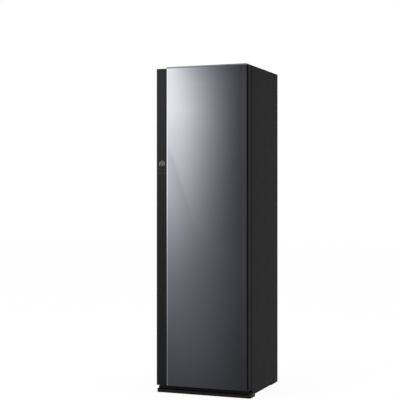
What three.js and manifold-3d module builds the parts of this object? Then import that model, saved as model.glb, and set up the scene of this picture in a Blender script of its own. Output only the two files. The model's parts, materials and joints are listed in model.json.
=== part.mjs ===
// A clothes care steam cabinet: a steel cabinet with a mirrored door, a chamber for hanging
// clothes, and below it a machine room with water tanks, a steam generator and a heat pump.
// Lengths are in millimetres. X runs to the right, Y to the back and Z up. The origin is on
// the floor, under the middle of the cabinet.
import * as THREE from 'three';
import { mergeVertices } from 'three/addons/utils/BufferGeometryUtils.js';
import Module from 'manifold-3d';

const wasm = await Module();
wasm.setup();

// Overall sizes
const height = 1965;
const depth = 619;
const cabinetWidth = 571;
const barWidth = 600;

// Fits, and the sides of round pieces
const fit = 0.3;
const overrun = 1;
const roundSides = 24;
const smallSides = 12;

// Door
const doorBottomGap = 8;
const doorTopDrop = 9;
const glassThickness = 5;
const stripWidth = 63.5;
const glassJoint = 1;
const bevelWidth = 7;
const bevelDepth = 2;
const trimHeight = 8;
const trimDepth = 10;
const carrierDepth = 30;
const carrierPullInset = 22;
const carrierHingeInset = 14;
const carrierEndInset = 6;
const carrierWall = 3;
const doorFrameDepth = 60.2;
const doorFrameWall = 0.8;
const hingeBlockWidth = 34;
const hingeBlockHeight = 44;
const doorLinerThickness = 2.5;
const doorLinerInset = 6;
const doorGap = 6;
const gasketWidth = 10;
const gasketInset = 4;

// Display board in the door
const boardHeight = 80;
const boardWidth = 30;
const boardDepth = 10;
const boardMiddle = 1365;
const boardInset = 5;

// Hinges
const pivotInset = 16;
const pivotReach = 50;
const hingePinRadius = 6;
const hingePinRun = 0.4;
const hingePinEntry = 34;
const hingeCollarRadius = 10;
const hingeHeadHeight = 2.4;
const bracketHalfWidth = 14;
const bracketThickness = 3;
const bracketLift = 1.5;
const bracketFlangeHeight = 28;
const hingeCoverWidth = 48;
const hingeCoverReach = 32;
const hingeCoverWall = 1.2;
const hingeCoverLift = 1;

// Steel casing
const sheet = 0.8;
const sideBottom = 10;
const rearFlange = 15;
const topFlange = 15;
const rearCoverThickness = 0.8;
const rearCoverRise = 2;
const rearRimWidth = 35;
const rearRimBottom = 95;
const rearRimTop = 65;
const frontFrameThickness = 1.5;
const panThickness = 1.5;
const panBottom = 16;
const panFlange = 28;

// Base bar, kick plate and feet
const barHeight = 24;
const barSetback = 34.7;
const barDepth = 83.8;
const barChamfer = 3;
const kickSetback = 34;
const kickTop = 42;
const kickWall = 2;
const footRadius = 22;
const footDisc = 8;
const footStem = 8;
const footSideInset = 45;
const footBackInset = 84;

// Chamber. The spaces are those from its inner faces to the outside of the cabinet.
const chamberSideSpace = 32.5;
const chamberBackSpace = 34.5;
const chamberTopSpace = 53;
const chamberFloor = 430;
const linerThickness = 3;
const insulationThickness = 12;
const ledgeWidth = 10;
const ledgeHeight = 6;
const ledgeTop = 594;

// How the machine room's depth is divided. What is left behind the blower holds its motor.
const bayDepthShare = 0.379;
const ductDepthShare = 0.385;
const blowerDepthShare = 0.145;

// Water tanks and their bay
const bayFloor = 238;
const bayWall = 2.5;
const bayColumn = 30;
const tankSideGap = 4;
const tankSetback = 53.5;
const tankBackGap = 6;
const tankTopGap = 24.1;
const tankWall = 2.5;
const tankLidHeight = 14;
const tankLidTab = 12;
const tankLidTabHeight = 6;
const doorRecessFrontSpace = 9;
const doorRecessSide = 10;
const doorRecessDrop = 1.8;
const doorRecessLift = 14;

// Air duct with the heat exchangers. Depth shares are those of the duct's depth.
const ductHalfWidth = 210;
const ductWall = 2.5;
const ductDeck = 205;
const exchangerSideGap = 12.5;
const exchangerTopGap = 34.9;
const exchangerDepthShare = 0.254;
const exchangerGap = 10;
const exchangerPlate = 3;
const exchangerPlateRise = 4;
const exchangerBackGap = 4;
const exchangerFinCount = 20;
const exchangerFinGapShare = 0.75;

// Lint filter
const filterHalfWidth = 120;
const filterFrontShare = 0.075;
const filterDepthShare = 0.254;
const filterDrop = 90;
const filterFlangeWidth = 6;
const filterFlangeHeight = 4;
const filterClearance = 1;
const filterBorderWidth = 10;
const filterWebThickness = 3;
const filterGripWidth = 60;
const filterGripHeight = 14;
const filterGripThickness = 6;

// Blower and floor grille
const blowerWall = 2.5;
const wheelSideGap = 16.5;
const wheelTopGap = 28.7;
const wheelBottomGap = 15.5;
const wheelRadius = 76;
const wheelWidth = 46;
const wheelInlet = 58;
const wheelHub = 14;
const wheelDisc = 2.5;
const wheelBladeCount = 16;
const wheelBladeThickness = 1.5;
const wheelBladeDepth = 15;
const wheelBladeLeanDegrees = 35;
const shaftRadius = 4;
const shaftEntry = 12;
const blowerMotorRadius = 32;
const blowerMotorLength = 34;
const grilleHalfWidth = 180;
const grilleBackInset = 10;
const grilleFlange = 5;
const grilleThickness = 3;
const grilleSlotCount = 14;
const grilleSlotShare = 0.5;

// Machines on the base pan
const compressorSideGap = 31.5;
const compressorAxisInset = 57;
const compressorRadius = 52;
const compressorHeight = 152;
const compressorCrownShare = 0.2;
const compressorFootRadius = 66;
const compressorFootHeight = 6;
const pipeRadius = 5;
const pipeStub = 24;
const pipeHeightShare = 0.55;
const generatorHalfWidth = 60;
const generatorDepth = 110;
const generatorHeight = 152;
const generatorBackGap = 15;
const generatorWall = 2;
const generatorNeckRadius = 12;
const generatorNeckHeight = 10;
const steamPipeRadius = 7;
const steamPipeBore = 4.5;
const steamHoleGap = 2;
const nozzleRadius = 22;
const nozzleHeight = 14;
const nozzleFlange = 4;
const pumpWidth = 80;
const pumpDepth = 70;
const pumpHeight = 62;
const pumpSideGap = 50;
const pumpPipeRadius = 6;
const controlBoxHeight = 150;
const controlBoxSideGap = 12;
const controlBoxInnerGap = 42.2;
const controlBoxFrontGap = 22;
const controlBoxBackGap = 22;
const controlBoxRib = 4;
const controlBoxWall = 2.5;
const glandX = -150;
const glandHeight = 70;
const glandRadius = 12;
const glandFlange = 4;
const glandFlangeLength = 4;
const glandLength = 14;
const glandBore = 4.5;

// Vents in the rear cover
const ventCount = 12;
const ventHalfWidth = 150;
const ventHeight = 6;
const ventPitch = 16;
const ventBottom = 120;

// Hanger drive under the ceiling
const driveHalfDepth = 60;
const driveHeight = 62;
const driveWall = 2.5;
const driveMotorRadius = 30;
const crankMotorGap = 4.2;
const crankThrow = 13;
const crankRadius = 22;
const crankThickness = 6;
const crankPinRadius = 4;
const crankPinRun = 1;
const crankShaftRadius = 5;
const crankShaftEntry = 14;
const crankLift = 1.7;
const carriageEndGap = 6.2;
const carriageHalfDepth = 26;
const carriageThickness = 5;
const carriageStroke = 11.3;
const carriageEnd = 15;
const stemRadius = 5;
const stemSpacing = 330;
const railRadius = 9;
const railEnd = 25;
const railDrop = 112;
const lampHalfWidth = 90;
const lampDepth = 40;
const lampHeight = 9;
const lampSetback = 34;

// Hangers
const hangerSpacing = 170;
const hangerEndGap = 39.5;
const hangerThickness = 14;
const hangerNeck = 34;
const hangerDrop = 78;
const hangerArm = 26;
const hangerNeckWidth = 16;
const hookWall = 5;
const hookRun = 0.4;

// Wire shelf
const shelfSetback = 45;
const shelfBackGap = 10;
const shelfSideGap = 4;
const shelfFrameRadius = 3.5;
const shelfWireRadius = 1.8;
const shelfWireCount = 13;

// Trouser press on the door
const pressBottom = 720;
const pressHeight = 760;
const pressSideGap = 58;
const pressBaseDepth = 13;
const pressPlateDepth = 14;
const pressPinRadius = 3;
const pressPinRun = 0.4;
const pressEar = 16;
const pressWall = 3;
const pressHingeGap = 0.5;
const pressRibCount = 5;
const pressRibDepth = 2;
const pressRibWidthShare = 0.5;

// Places worked out from the sizes above, from the front to the back
const half = cabinetWidth / 2;
const frontFace = -depth / 2;
const backFace = depth / 2;
const glassBack = frontFace + glassThickness;
const doorFrameFront = glassBack + carrierDepth;
const doorFrameBack = doorFrameFront + doorFrameDepth;
const doorBack = doorFrameBack + fit + doorLinerThickness;
const bodyFront = doorBack + doorGap;
const frontFrameBack = bodyFront + frontFrameThickness;
const casingBack = backFace - rearCoverRise - rearCoverThickness - fit;
const innerBack = casingBack - sheet - fit;
const barFront = frontFace + barSetback;
const barBack = barFront + barDepth;
const kickFront = frontFace + kickSetback;
const chamberBack = backFace - chamberBackSpace;
const hangingMiddle = (frontFrameBack + chamberBack) / 2;
const roomFront = frontFrameBack + fit;
const roomDepth = innerBack - roomFront;
const bayBack = roomFront + roomDepth * bayDepthShare;
const ductFront = bayBack + fit;
const ductDepth = roomDepth * ductDepthShare;
const ductBack = ductFront + ductDepth;

// Places across the width
const innerHalf = half - sheet - fit;
const chamberHalf = half - chamberSideSpace;
const linerOuter = chamberHalf + linerThickness;
const mirrorLeft = -half + stripWidth + glassJoint;
const pivotX = half - pivotInset;
const pivotY = doorBack - pivotReach;

// Places up the height
const doorBottom = kickTop + doorBottomGap;
const doorTop = height - doorTopDrop;
const chamberCeiling = height - chamberTopSpace;
const panTop = panBottom + panThickness;
const onPan = panTop + fit;
const topPlateBottom = height - sheet;
const linerFloorBottom = chamberFloor - linerThickness;
const underFloor = linerFloorBottom - fit;
const linerCeilingTop = chamberCeiling + linerThickness;
const openingTop = chamberCeiling;
const openingBottom = bayFloor;
const carrierTop = doorTop - carrierEndInset;
const blowerAxisHeight = underFloor - wheelTopGap - wheelRadius;
const railHeight = chamberCeiling - railDrop;

// Tools for shapes. A span is a pair of a low and a high place on one axis.
const grown = ([low, high], by) => [low - by, high + by];
const around = (middle, size) => [middle - size / 2, middle + size / 2];

function block([x0, x1], [y0, y1], [z0, z1]) {
  const geometry = new THREE.BoxGeometry(x1 - x0, y1 - y0, z1 - z0);
  geometry.translate((x0 + x1) / 2, (y0 + y1) / 2, (z0 + z1) / 2);
  return geometry;
}

// A round bar along X, Y or Z. The place is given on the two other axes, in their order.
function rod(axis, radius, [low, high], [a, b], sides = roundSides) {
  const geometry = new THREE.CylinderGeometry(radius, radius, high - low, sides);
  const middle = (low + high) / 2;
  if (axis === 'x') {
    geometry.rotateZ(Math.PI / 2);
    geometry.translate(middle, a, b);
  } else if (axis === 'y') {
    geometry.translate(a, middle, b);
  } else {
    geometry.rotateX(Math.PI / 2);
    geometry.translate(a, b, middle);
  }
  return geometry;
}

// A plan outline, as points in X and Y, raised along Z.
function raised(points, [low, high]) {
  const shape = new THREE.Shape(points.map(([x, y]) => new THREE.Vector2(x, y)));
  const geometry = new THREE.ExtrudeGeometry(shape, { depth: high - low, bevelEnabled: false });
  geometry.translate(0, 0, low);
  return geometry;
}

// A side outline, as points in Y and Z, drawn out along X.
function drawn(points, [low, high]) {
  const shape = new THREE.Shape(points.map(([y, z]) => new THREE.Vector2(y, z)));
  const geometry = new THREE.ExtrudeGeometry(shape, { depth: high - low, bevelEnabled: false });
  const turn = new THREE.Matrix4().makeBasis(
    new THREE.Vector3(0, 1, 0),
    new THREE.Vector3(0, 0, 1),
    new THREE.Vector3(1, 0, 0),
  );
  geometry.applyMatrix4(turn);
  geometry.translate(low, 0, 0);
  return geometry;
}

// A turned piece. The profile is a list of radius and height, from the bottom to the top.
function turned(profile, sides = roundSides) {
  const points = profile.map(([radius, rise]) => new THREE.Vector2(radius, rise));
  const geometry = new THREE.LatheGeometry(points, sides);
  geometry.rotateX(Math.PI / 2);
  return join(geometry);
}

function solidOf(geometry) {
  const bare = geometry.clone();
  bare.deleteAttribute('normal');
  bare.deleteAttribute('uv');
  const merged = mergeVertices(bare);
  return new wasm.Manifold(new wasm.Mesh({
    numProp: 3,
    vertProperties: new Float32Array(merged.attributes.position.array),
    triVerts: new Uint32Array(merged.index.array),
  }));
}

function geometryOf(solid) {
  const { vertProperties, triVerts, numProp } = solid.getMesh();
  const geometry = new THREE.BufferGeometry();
  geometry.setAttribute('position', new THREE.BufferAttribute(vertProperties, numProp));
  geometry.setIndex(new THREE.BufferAttribute(triVerts, 1));
  geometry.computeVertexNormals();
  return geometry;
}

function join(first, ...others) {
  return geometryOf(others.reduce((whole, next) => whole.add(solidOf(next)), solidOf(first)));
}

function cut(first, ...tools) {
  return geometryOf(tools.reduce((whole, tool) => whole.subtract(solidOf(tool)), solidOf(first)));
}

const indices = (count) => Array.from({ length: count }, (_, index) => index);

// Finishes, one function for each material
const finish = (color, roughness, metalness) => (
  new THREE.MeshStandardMaterial({ color, roughness, metalness })
);
const blackSteel = () => finish(0x2b2b2c, 0.5, 0.4);
const galvanised = () => finish(0x9a9da0, 0.45, 0.8);
const bracketSteel = () => finish(0x6d6f72, 0.4, 0.9);
const mirror = () => finish(0x8d9096, 0.05, 1);
const blackGlass = () => finish(0x101012, 0.08, 0.1);
const trimMetal = () => finish(0x55575b, 0.3, 0.9);
const blackPlastic = () => finish(0x141415, 0.6, 0);
const barPlastic = () => finish(0x2c2b2b, 0.55, 0);
const linerPlastic = () => finish(0xd3d5d6, 0.5, 0);
const darkPlastic = () => finish(0x3b3e42, 0.5, 0);
const foam = () => finish(0xd9cfae, 0.9, 0);
const rubber = () => finish(0x3a3a3c, 0.85, 0);
const tankPlastic = () => finish(0x9fb0ba, 0.3, 0);
const chrome = () => finish(0xc9ccd0, 0.15, 1);
const copper = () => finish(0xb5713f, 0.3, 1);
const aluminium = () => finish(0xbfc3c6, 0.35, 0.9);
const compressorPaint = () => finish(0x1d1e20, 0.45, 0.4);
const boardGreen = () => finish(0x1f4a35, 0.6, 0);
const lampDiffuser = () => finish(0xf1f1ea, 0.4, 0);

function piece(name, geometry, material) {
  const mesh = new THREE.Mesh(geometry, material);
  mesh.name = name;
  return mesh;
}

function group(...children) {
  const holder = new THREE.Group();
  holder.add(...children);
  return holder;
}

// Steel casing
function sidePanel(name, side) {
  const outer = side * half;
  const inner = side * (half - sheet);
  const lip = side * (half - rearFlange);
  const outline = [
    [outer, bodyFront],
    [outer, casingBack],
    [lip, casingBack],
    [lip, casingBack - sheet],
    [inner, casingBack - sheet],
    [inner, bodyFront],
  ];
  const overBar = block(
    side < 0 ? [outer - overrun, lip] : [lip, outer + overrun],
    [bodyFront - overrun, barBack + fit],
    [sideBottom - overrun, barHeight + fit],
  );
  return piece(name, cut(raised(outline, [sideBottom, height]), overBar), blackSteel());
}

function topCover() {
  const plate = block([-innerHalf, innerHalf], [bodyFront, innerBack], [topPlateBottom, height]);
  const flangeSpan = [frontFrameBack + fit, innerBack];
  const flange = cut(
    block([-innerHalf, innerHalf], flangeSpan, [topPlateBottom - topFlange, topPlateBottom]),
    block(
      grown([-innerHalf, innerHalf], -sheet),
      grown(flangeSpan, -sheet),
      grown([topPlateBottom - topFlange, topPlateBottom], overrun),
    ),
  );
  return piece('top_cover', join(plate, flange), blackSteel());
}

// The rear cover has a flat rim, and a hollow raised middle with the vents.
function rearCover() {
  const y = [casingBack + fit, backFace];
  const rim = block([-half, half], [y[0], y[0] + rearCoverThickness], [sideBottom, height]);
  const middleX = grown([-half, half], -rearRimWidth);
  const middleZ = [rearRimBottom, height - rearRimTop];
  const hollow = block(
    grown(middleX, -rearCoverThickness),
    [y[0] - overrun, y[1] - rearCoverThickness],
    grown(middleZ, -rearCoverThickness),
  );
  const plate = join(rim, block(middleX, y, middleZ));
  const vents = indices(ventCount).map((row) => {
    const low = ventBottom + row * ventPitch;
    return block([-ventHalfWidth, ventHalfWidth], grown(y, overrun), [low, low + ventHeight]);
  });
  const glandHole = rod('y', glandRadius + fit, grown(y, overrun), [glandX, glandHeight]);
  return piece('rear_cover', cut(plate, hollow, ...vents, glandHole), galvanised());
}

function frontFrame() {
  const y = [bodyFront, frontFrameBack];
  const plate = block([-innerHalf, innerHalf], y, [barHeight + fit, topPlateBottom - fit]);
  const mouth = block([-chamberHalf, chamberHalf], grown(y, overrun), [openingBottom, openingTop]);
  return piece('front_frame', cut(plate, mouth), blackSteel());
}

function basePan() {
  const front = barBack + fit;
  const plate = block([-innerHalf, innerHalf], [front, innerBack], [panBottom, panTop]);
  const lip = block([-innerHalf, innerHalf], [front, front + panThickness], [panBottom, panTop + panFlange]);
  return piece('base_pan', join(plate, lip), galvanised());
}

function baseBar() {
  const outline = [
    [barFront, 0],
    [barBack, 0],
    [barBack, barHeight],
    [barFront + barChamfer, barHeight],
    [barFront, barHeight - barChamfer],
  ];
  return piece('base_bar', drawn(outline, [-barWidth / 2, barWidth / 2]), barPlastic());
}

function kickPlate() {
  const back = bodyFront - fit;
  const low = barHeight + fit;
  const outline = [
    [kickFront, low],
    [kickFront + kickWall, low],
    [kickFront + kickWall, kickTop - kickWall],
    [back, kickTop - kickWall],
    [back, kickTop],
    [kickFront, kickTop],
  ];
  return piece('kick_plate', drawn(outline, [-half, half]), blackPlastic());
}

function rearFoot(name, side) {
  const foot = turned([
    [0, 0],
    [footRadius, 0],
    [footRadius, footDisc],
    [footStem, footDisc],
    [footStem, panBottom - fit],
    [0, panBottom - fit],
  ]);
  const mesh = piece(name, foot, rubber());
  mesh.position.set(side * (half - footSideInset), backFace - footBackInset, 0);
  return mesh;
}

// Chamber lining
const linerY = [frontFrameBack + fit, chamberBack];

function sideLiner(name, side) {
  const x = side < 0 ? [-linerOuter, -chamberHalf] : [chamberHalf, linerOuter];
  const wall = block(x, linerY, [linerFloorBottom, chamberCeiling - fit]);
  const ledgeX = side < 0
    ? [-chamberHalf - linerThickness / 2, -chamberHalf + ledgeWidth]
    : [chamberHalf - ledgeWidth, chamberHalf + linerThickness / 2];
  const ledge = block(ledgeX, linerY, [ledgeTop - ledgeHeight, ledgeTop]);
  return piece(name, join(wall, ledge), linerPlastic());
}

function backLiner() {
  const y = [chamberBack + fit, chamberBack + linerThickness];
  const wall = block([-linerOuter, linerOuter], y, [linerFloorBottom, chamberCeiling - fit]);
  return piece('liner_back', wall, linerPlastic());
}

function ceilingLiner() {
  const y = [frontFrameBack + fit, chamberBack + linerThickness];
  const plate = block([-linerOuter, linerOuter], y, [chamberCeiling, linerCeilingTop]);
  return piece('liner_ceiling', plate, linerPlastic());
}

const filterX = [-filterHalfWidth, filterHalfWidth];
const filterFront = ductFront + ductDepth * filterFrontShare;
const filterY = [filterFront, filterFront + ductDepth * filterDepthShare];
const grilleX = [-grilleHalfWidth, grilleHalfWidth];
const grilleY = [ductBack + fit, chamberBack - grilleBackInset - grilleFlange];
const generatorBack = bayBack - generatorBackGap;
const steamX = 0;
const steamY = generatorBack - generatorDepth / 2;

function floorLiner() {
  const z = [linerFloorBottom, chamberFloor];
  const through = grown(z, overrun);
  const x = grown([-chamberHalf, chamberHalf], -fit);
  const plate = block(x, [frontFrameBack + fit, chamberBack - fit], z);
  const filterSlot = block(grown(filterX, filterClearance), grown(filterY, filterClearance), through);
  const outlet = block(grown(grilleX, fit), grown(grilleY, fit), through);
  const steamHole = rod('z', steamPipeRadius + fit, through, [steamX, steamY]);
  return piece('liner_floor', cut(plate, filterSlot, outlet, steamHole), linerPlastic());
}

function chamberInsulation() {
  const innerX = grown([-linerOuter, linerOuter], fit);
  const innerY = [frontFrameBack + fit - overrun, chamberBack + linerThickness + fit];
  const top = linerCeilingTop + fit + insulationThickness;
  const whole = block(
    grown(innerX, insulationThickness),
    [frontFrameBack + fit, innerY[1] + insulationThickness],
    [linerFloorBottom, top],
  );
  const hollow = block(innerX, innerY, [linerFloorBottom - overrun, linerCeilingTop + fit]);
  return piece('chamber_insulation', cut(whole, hollow), foam());
}

// Hinges. The door turns on a lower pin with a collar, and on an upper pin with a head.
const bracketX = around(pivotX, bracketHalfWidth * 2);
const bracketFlangeY = [bodyFront - fit - bracketThickness, bodyFront - fit];
const lowerBracketZ = [kickTop + fit, kickTop + fit + bracketThickness];
const upperBracketZ = [doorTop + bracketLift, doorTop + bracketLift + bracketThickness];

function hingeBracket(name, plateZ, flangeZ) {
  const y = [pivotY - bracketHalfWidth, bodyFront - fit];
  const whole = join(block(bracketX, y, plateZ), block(bracketX, bracketFlangeY, flangeZ));
  const hole = rod('z', hingePinRadius + fit, grown(plateZ, overrun), [pivotX, pivotY]);
  return piece(name, cut(whole, hole), bracketSteel());
}

function upperHingePin() {
  const shaft = rod('z', hingePinRadius, [doorTop - hingePinEntry, upperBracketZ[1] + fit], [pivotX, pivotY]);
  const headZ = [upperBracketZ[1] + fit, upperBracketZ[1] + fit + hingeHeadHeight];
  const head = rod('z', hingeCollarRadius, headZ, [pivotX, pivotY]);
  return piece('hinge_pin_top', join(shaft, head), bracketSteel());
}

function lowerHingePin() {
  const shaft = rod('z', hingePinRadius, [lowerBracketZ[0], doorBottom + hingePinEntry], [pivotX, pivotY]);
  const collar = rod('z', hingeCollarRadius, [lowerBracketZ[1] + fit, doorBottom - fit], [pivotX, pivotY]);
  return piece('hinge_pin_bottom', join(shaft, collar), bracketSteel());
}

function hingeCover() {
  const x = [half - hingeCoverWidth, half];
  const y = [pivotY - hingeCoverReach, bodyFront - fit];
  const z = [doorTop + hingeCoverLift, height];
  const inside = block(
    grown(x, -hingeCoverWall),
    [y[0] + hingeCoverWall, y[1] + overrun],
    [z[0] - overrun, z[1] - hingeCoverWall],
  );
  return piece('hinge_cover_top', cut(block(x, y, z), inside), blackPlastic());
}

// Water tanks and their bay
const bayHalf = chamberHalf - fit;
const bayY = [roomFront, bayBack];
const tankX = [bayColumn / 2 + tankSideGap, bayHalf - bayWall - tankSideGap];
const tankY = [frontFrameBack + tankSetback, bayBack - bayWall - tankBackGap];
const tankZ = [bayFloor + fit, underFloor - tankTopGap - tankLidHeight - fit];

function tankBay() {
  const whole = block([-bayHalf, bayHalf], bayY, [bayFloor - bayWall, underFloor]);
  const pocketY = [bayY[0] - overrun, bayY[1] - bayWall];
  const pocketZ = [bayFloor, underFloor + overrun];
  const left = block([-bayHalf + bayWall, -bayColumn / 2], pocketY, pocketZ);
  const right = block([bayColumn / 2, bayHalf - bayWall], pocketY, pocketZ);
  const column = block(
    grown(around(0, bayColumn), -bayWall),
    grown(bayY, -bayWall),
    [bayFloor - bayWall - overrun, underFloor - bayWall],
  );
  const steamHole = rod('z', steamPipeRadius + steamHoleGap, [bayFloor, underFloor + overrun], [steamX, steamY]);
  return piece('tank_bay', cut(whole, left, right, column, steamHole), darkPlastic());
}

function waterTank(name, side) {
  const x = side < 0 ? [-tankX[1], -tankX[0]] : tankX;
  const inside = block(grown(x, -tankWall), grown(tankY, -tankWall), [tankZ[0] + tankWall, tankZ[1] + overrun]);
  return piece(name, cut(block(x, tankY, tankZ), inside), tankPlastic());
}

function tankLid(name, side) {
  const x = side < 0 ? [-tankX[1], -tankX[0]] : tankX;
  const low = tankZ[1] + fit;
  const plate = block(x, tankY, [low, low + tankLidHeight]);
  const tab = block(
    grown(x, -tankLidTab),
    [tankY[0] - tankLidTab, tankY[0] + tankLidTab],
    [low + tankLidHeight - tankLidTabHeight, low + tankLidHeight],
  );
  return piece(name, join(plate, tab), darkPlastic());
}

// Air duct, heat exchangers and lint filter
function airDuct() {
  const y = [ductFront, ductBack];
  const x = [-ductHalfWidth, ductHalfWidth];
  const legs = cut(
    block(x, y, [onPan, underFloor]),
    block(grown(x, -ductWall), grown(y, overrun), grown([onPan, underFloor], overrun)),
  );
  const tray = cut(
    block(x, y, [ductDeck, underFloor]),
    block(grown(x, -ductWall), grown(y, -ductWall), [ductDeck + ductWall, underFloor + overrun]),
  );
  const inlet = rod('y', wheelInlet, grown([ductBack - ductWall, ductBack], overrun), [0, blowerAxisHeight]);
  const pipeHole = rod('z', pipeRadius + fit, grown([ductDeck, ductDeck + ductWall], overrun), [pipeX, pipeY]);
  return piece('air_duct', cut(join(legs, tray), inlet, pipeHole), darkPlastic());
}

const exchangerHalfWidth = ductHalfWidth - ductWall - exchangerSideGap;
const exchangerDepth = ductDepth * exchangerDepthShare;
const condenserBack = ductBack - ductWall - exchangerBackGap;
const condenserY = [condenserBack - exchangerDepth, condenserBack];
const evaporatorY = [condenserY[0] - exchangerGap - exchangerDepth, condenserY[0] - exchangerGap];
const exchangerBottom = ductDeck + ductWall + fit;
const exchangerTop = underFloor - exchangerTopGap - exchangerPlateRise;
const pipeX = exchangerHalfWidth - exchangerPlate - pipeRadius * 2;
const pipeY = (condenserY[0] + condenserY[1]) / 2;

// A heat exchanger has a row of fins between an upper and a lower rail, and two end plates.
function heatExchanger(name, y) {
  const x = [-exchangerHalfWidth, exchangerHalfWidth];
  const z = [exchangerBottom, exchangerTop];
  const pitch = (x[1] - x[0]) / exchangerFinCount;
  const gaps = indices(exchangerFinCount).map((index) => block(
    around(x[0] + pitch * (index + 1 / 2), pitch * exchangerFinGapShare),
    grown(y, overrun),
    grown(z, -exchangerPlate),
  ));
  const tall = [exchangerBottom, exchangerTop + exchangerPlateRise];
  const plates = x.map((place) => block(around(place, exchangerPlate * 2), y, tall));
  return piece(name, join(cut(block(x, y, z), ...gaps), ...plates), aluminium());
}

function lintFilter() {
  const bottom = chamberFloor - filterDrop;
  const flangeLow = chamberFloor + fit;
  const flangeHigh = flangeLow + filterFlangeHeight;
  const body = block(filterX, filterY, [bottom, flangeHigh]);
  const middle = (filterY[0] + filterY[1]) / 2;
  const webY = around(middle, filterWebThickness);
  const windowX = grown(filterX, -filterBorderWidth);
  const windowZ = [bottom + filterBorderWidth, linerFloorBottom - filterBorderWidth];
  const frontWindow = block(windowX, [filterY[0] - overrun, webY[0]], windowZ);
  const backWindow = block(windowX, [webY[1], filterY[1] + overrun], windowZ);
  const flange = block(
    grown(filterX, filterFlangeWidth),
    grown(filterY, filterFlangeWidth),
    [flangeLow, flangeHigh],
  );
  const grip = block(
    around(0, filterGripWidth),
    around(middle, filterGripThickness),
    [flangeLow, flangeHigh + filterGripHeight],
  );
  return piece('lint_filter', join(cut(body, frontWindow, backWindow), flange, grip), darkPlastic());
}

// Blower and floor grille
const blowerHalfWidth = wheelRadius + wheelSideGap + blowerWall;
const blowerBottom = blowerAxisHeight - wheelRadius - wheelBottomGap - blowerWall;
const blowerY = [ductBack + fit, ductBack + fit + roomDepth * blowerDepthShare];
const wheelMiddle = (blowerY[0] + blowerY[1]) / 2;

function blowerHousing() {
  const x = [-blowerHalfWidth, blowerHalfWidth];
  const whole = block(x, blowerY, [blowerBottom, underFloor]);
  const inside = block(
    grown(x, -blowerWall),
    grown(blowerY, -blowerWall),
    [blowerBottom + blowerWall, underFloor + overrun],
  );
  const inlet = rod('y', wheelInlet, grown([blowerY[0], blowerY[0] + blowerWall], overrun), [0, blowerAxisHeight]);
  const shaftHole = rod(
    'y',
    shaftRadius + fit,
    grown([blowerY[1] - blowerWall, blowerY[1]], overrun),
    [0, blowerAxisHeight],
    smallSides,
  );
  return piece('blower_housing', cut(whole, inside, inlet, shaftHole), darkPlastic());
}

function blowerMotor() {
  const y = [blowerY[1] + fit, blowerY[1] + fit + blowerMotorLength];
  const body = rod('y', blowerMotorRadius, y, [0, blowerAxisHeight]);
  const bore = rod(
    'y',
    shaftRadius + fit,
    [y[0] - overrun, y[0] + shaftEntry + fit],
    [0, blowerAxisHeight],
    smallSides,
  );
  return piece('blower_motor', cut(body, bore), bracketSteel());
}

function blowerWheel() {
  const y = around(wheelMiddle, wheelWidth);
  const centre = [0, blowerAxisHeight];
  const disc = rod('y', wheelRadius, [y[1] - wheelDisc, y[1]], centre);
  const rim = cut(
    rod('y', wheelRadius, [y[0], y[0] + wheelDisc], centre),
    rod('y', wheelInlet, grown([y[0], y[0] + wheelDisc], overrun), centre),
  );
  const hub = rod('y', wheelHub, [wheelMiddle, y[1]], centre);
  const shaft = rod('y', shaftRadius, [wheelMiddle, blowerY[1] + fit + shaftEntry], centre, smallSides);
  const lean = THREE.MathUtils.degToRad(wheelBladeLeanDegrees);
  const blades = indices(wheelBladeCount).map((index) => {
    const blade = block(around(0, wheelBladeThickness), y, around(0, wheelBladeDepth));
    blade.rotateY(lean);
    blade.translate(0, 0, wheelRadius - wheelBladeDepth / 2);
    blade.rotateY((index / wheelBladeCount) * Math.PI * 2);
    blade.translate(0, 0, blowerAxisHeight);
    return blade;
  });
  return piece('blower_wheel', join(disc, rim, hub, shaft, ...blades), darkPlastic());
}

function floorGrille() {
  const low = chamberFloor + fit;
  const z = [low, low + grilleThickness];
  const flange = block(grown(grilleX, grilleFlange), grown(grilleY, grilleFlange), z);
  const plug = block(grilleX, grilleY, [linerFloorBottom, low]);
  const pitch = (grilleX[1] - grilleX[0]) / grilleSlotCount;
  const slots = indices(grilleSlotCount).map((index) => {
    const x = around(grilleX[0] + pitch * (index + 1 / 2), pitch * grilleSlotShare);
    return block(x, grown(grilleY, -grilleFlange), grown([linerFloorBottom, z[1]], overrun));
  });
  return piece('floor_grille', cut(join(flange, plug), ...slots), darkPlastic());
}

// Machines on the base pan
const compressorX = ductHalfWidth - ductWall - compressorSideGap - compressorFootRadius;
const compressorY = ductBack - compressorAxisInset;

function compressor() {
  const top = compressorHeight;
  const shoulder = top * (1 - compressorCrownShare);
  const shell = turned([
    [0, 0],
    [compressorFootRadius, 0],
    [compressorFootRadius, compressorFootHeight],
    [compressorRadius, compressorFootHeight],
    [compressorRadius, shoulder],
    ...indices(smallSides / 2).slice(1).map((step) => {
      const angle = (step / (smallSides / 2)) * (Math.PI / 2);
      return [compressorRadius * Math.cos(angle), shoulder + (top - shoulder) * Math.sin(angle)];
    }),
    [0, top],
  ]);
  const mesh = piece('compressor', shell, compressorPaint());
  mesh.position.set(compressorX, compressorY, onPan);
  return mesh;
}

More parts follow.
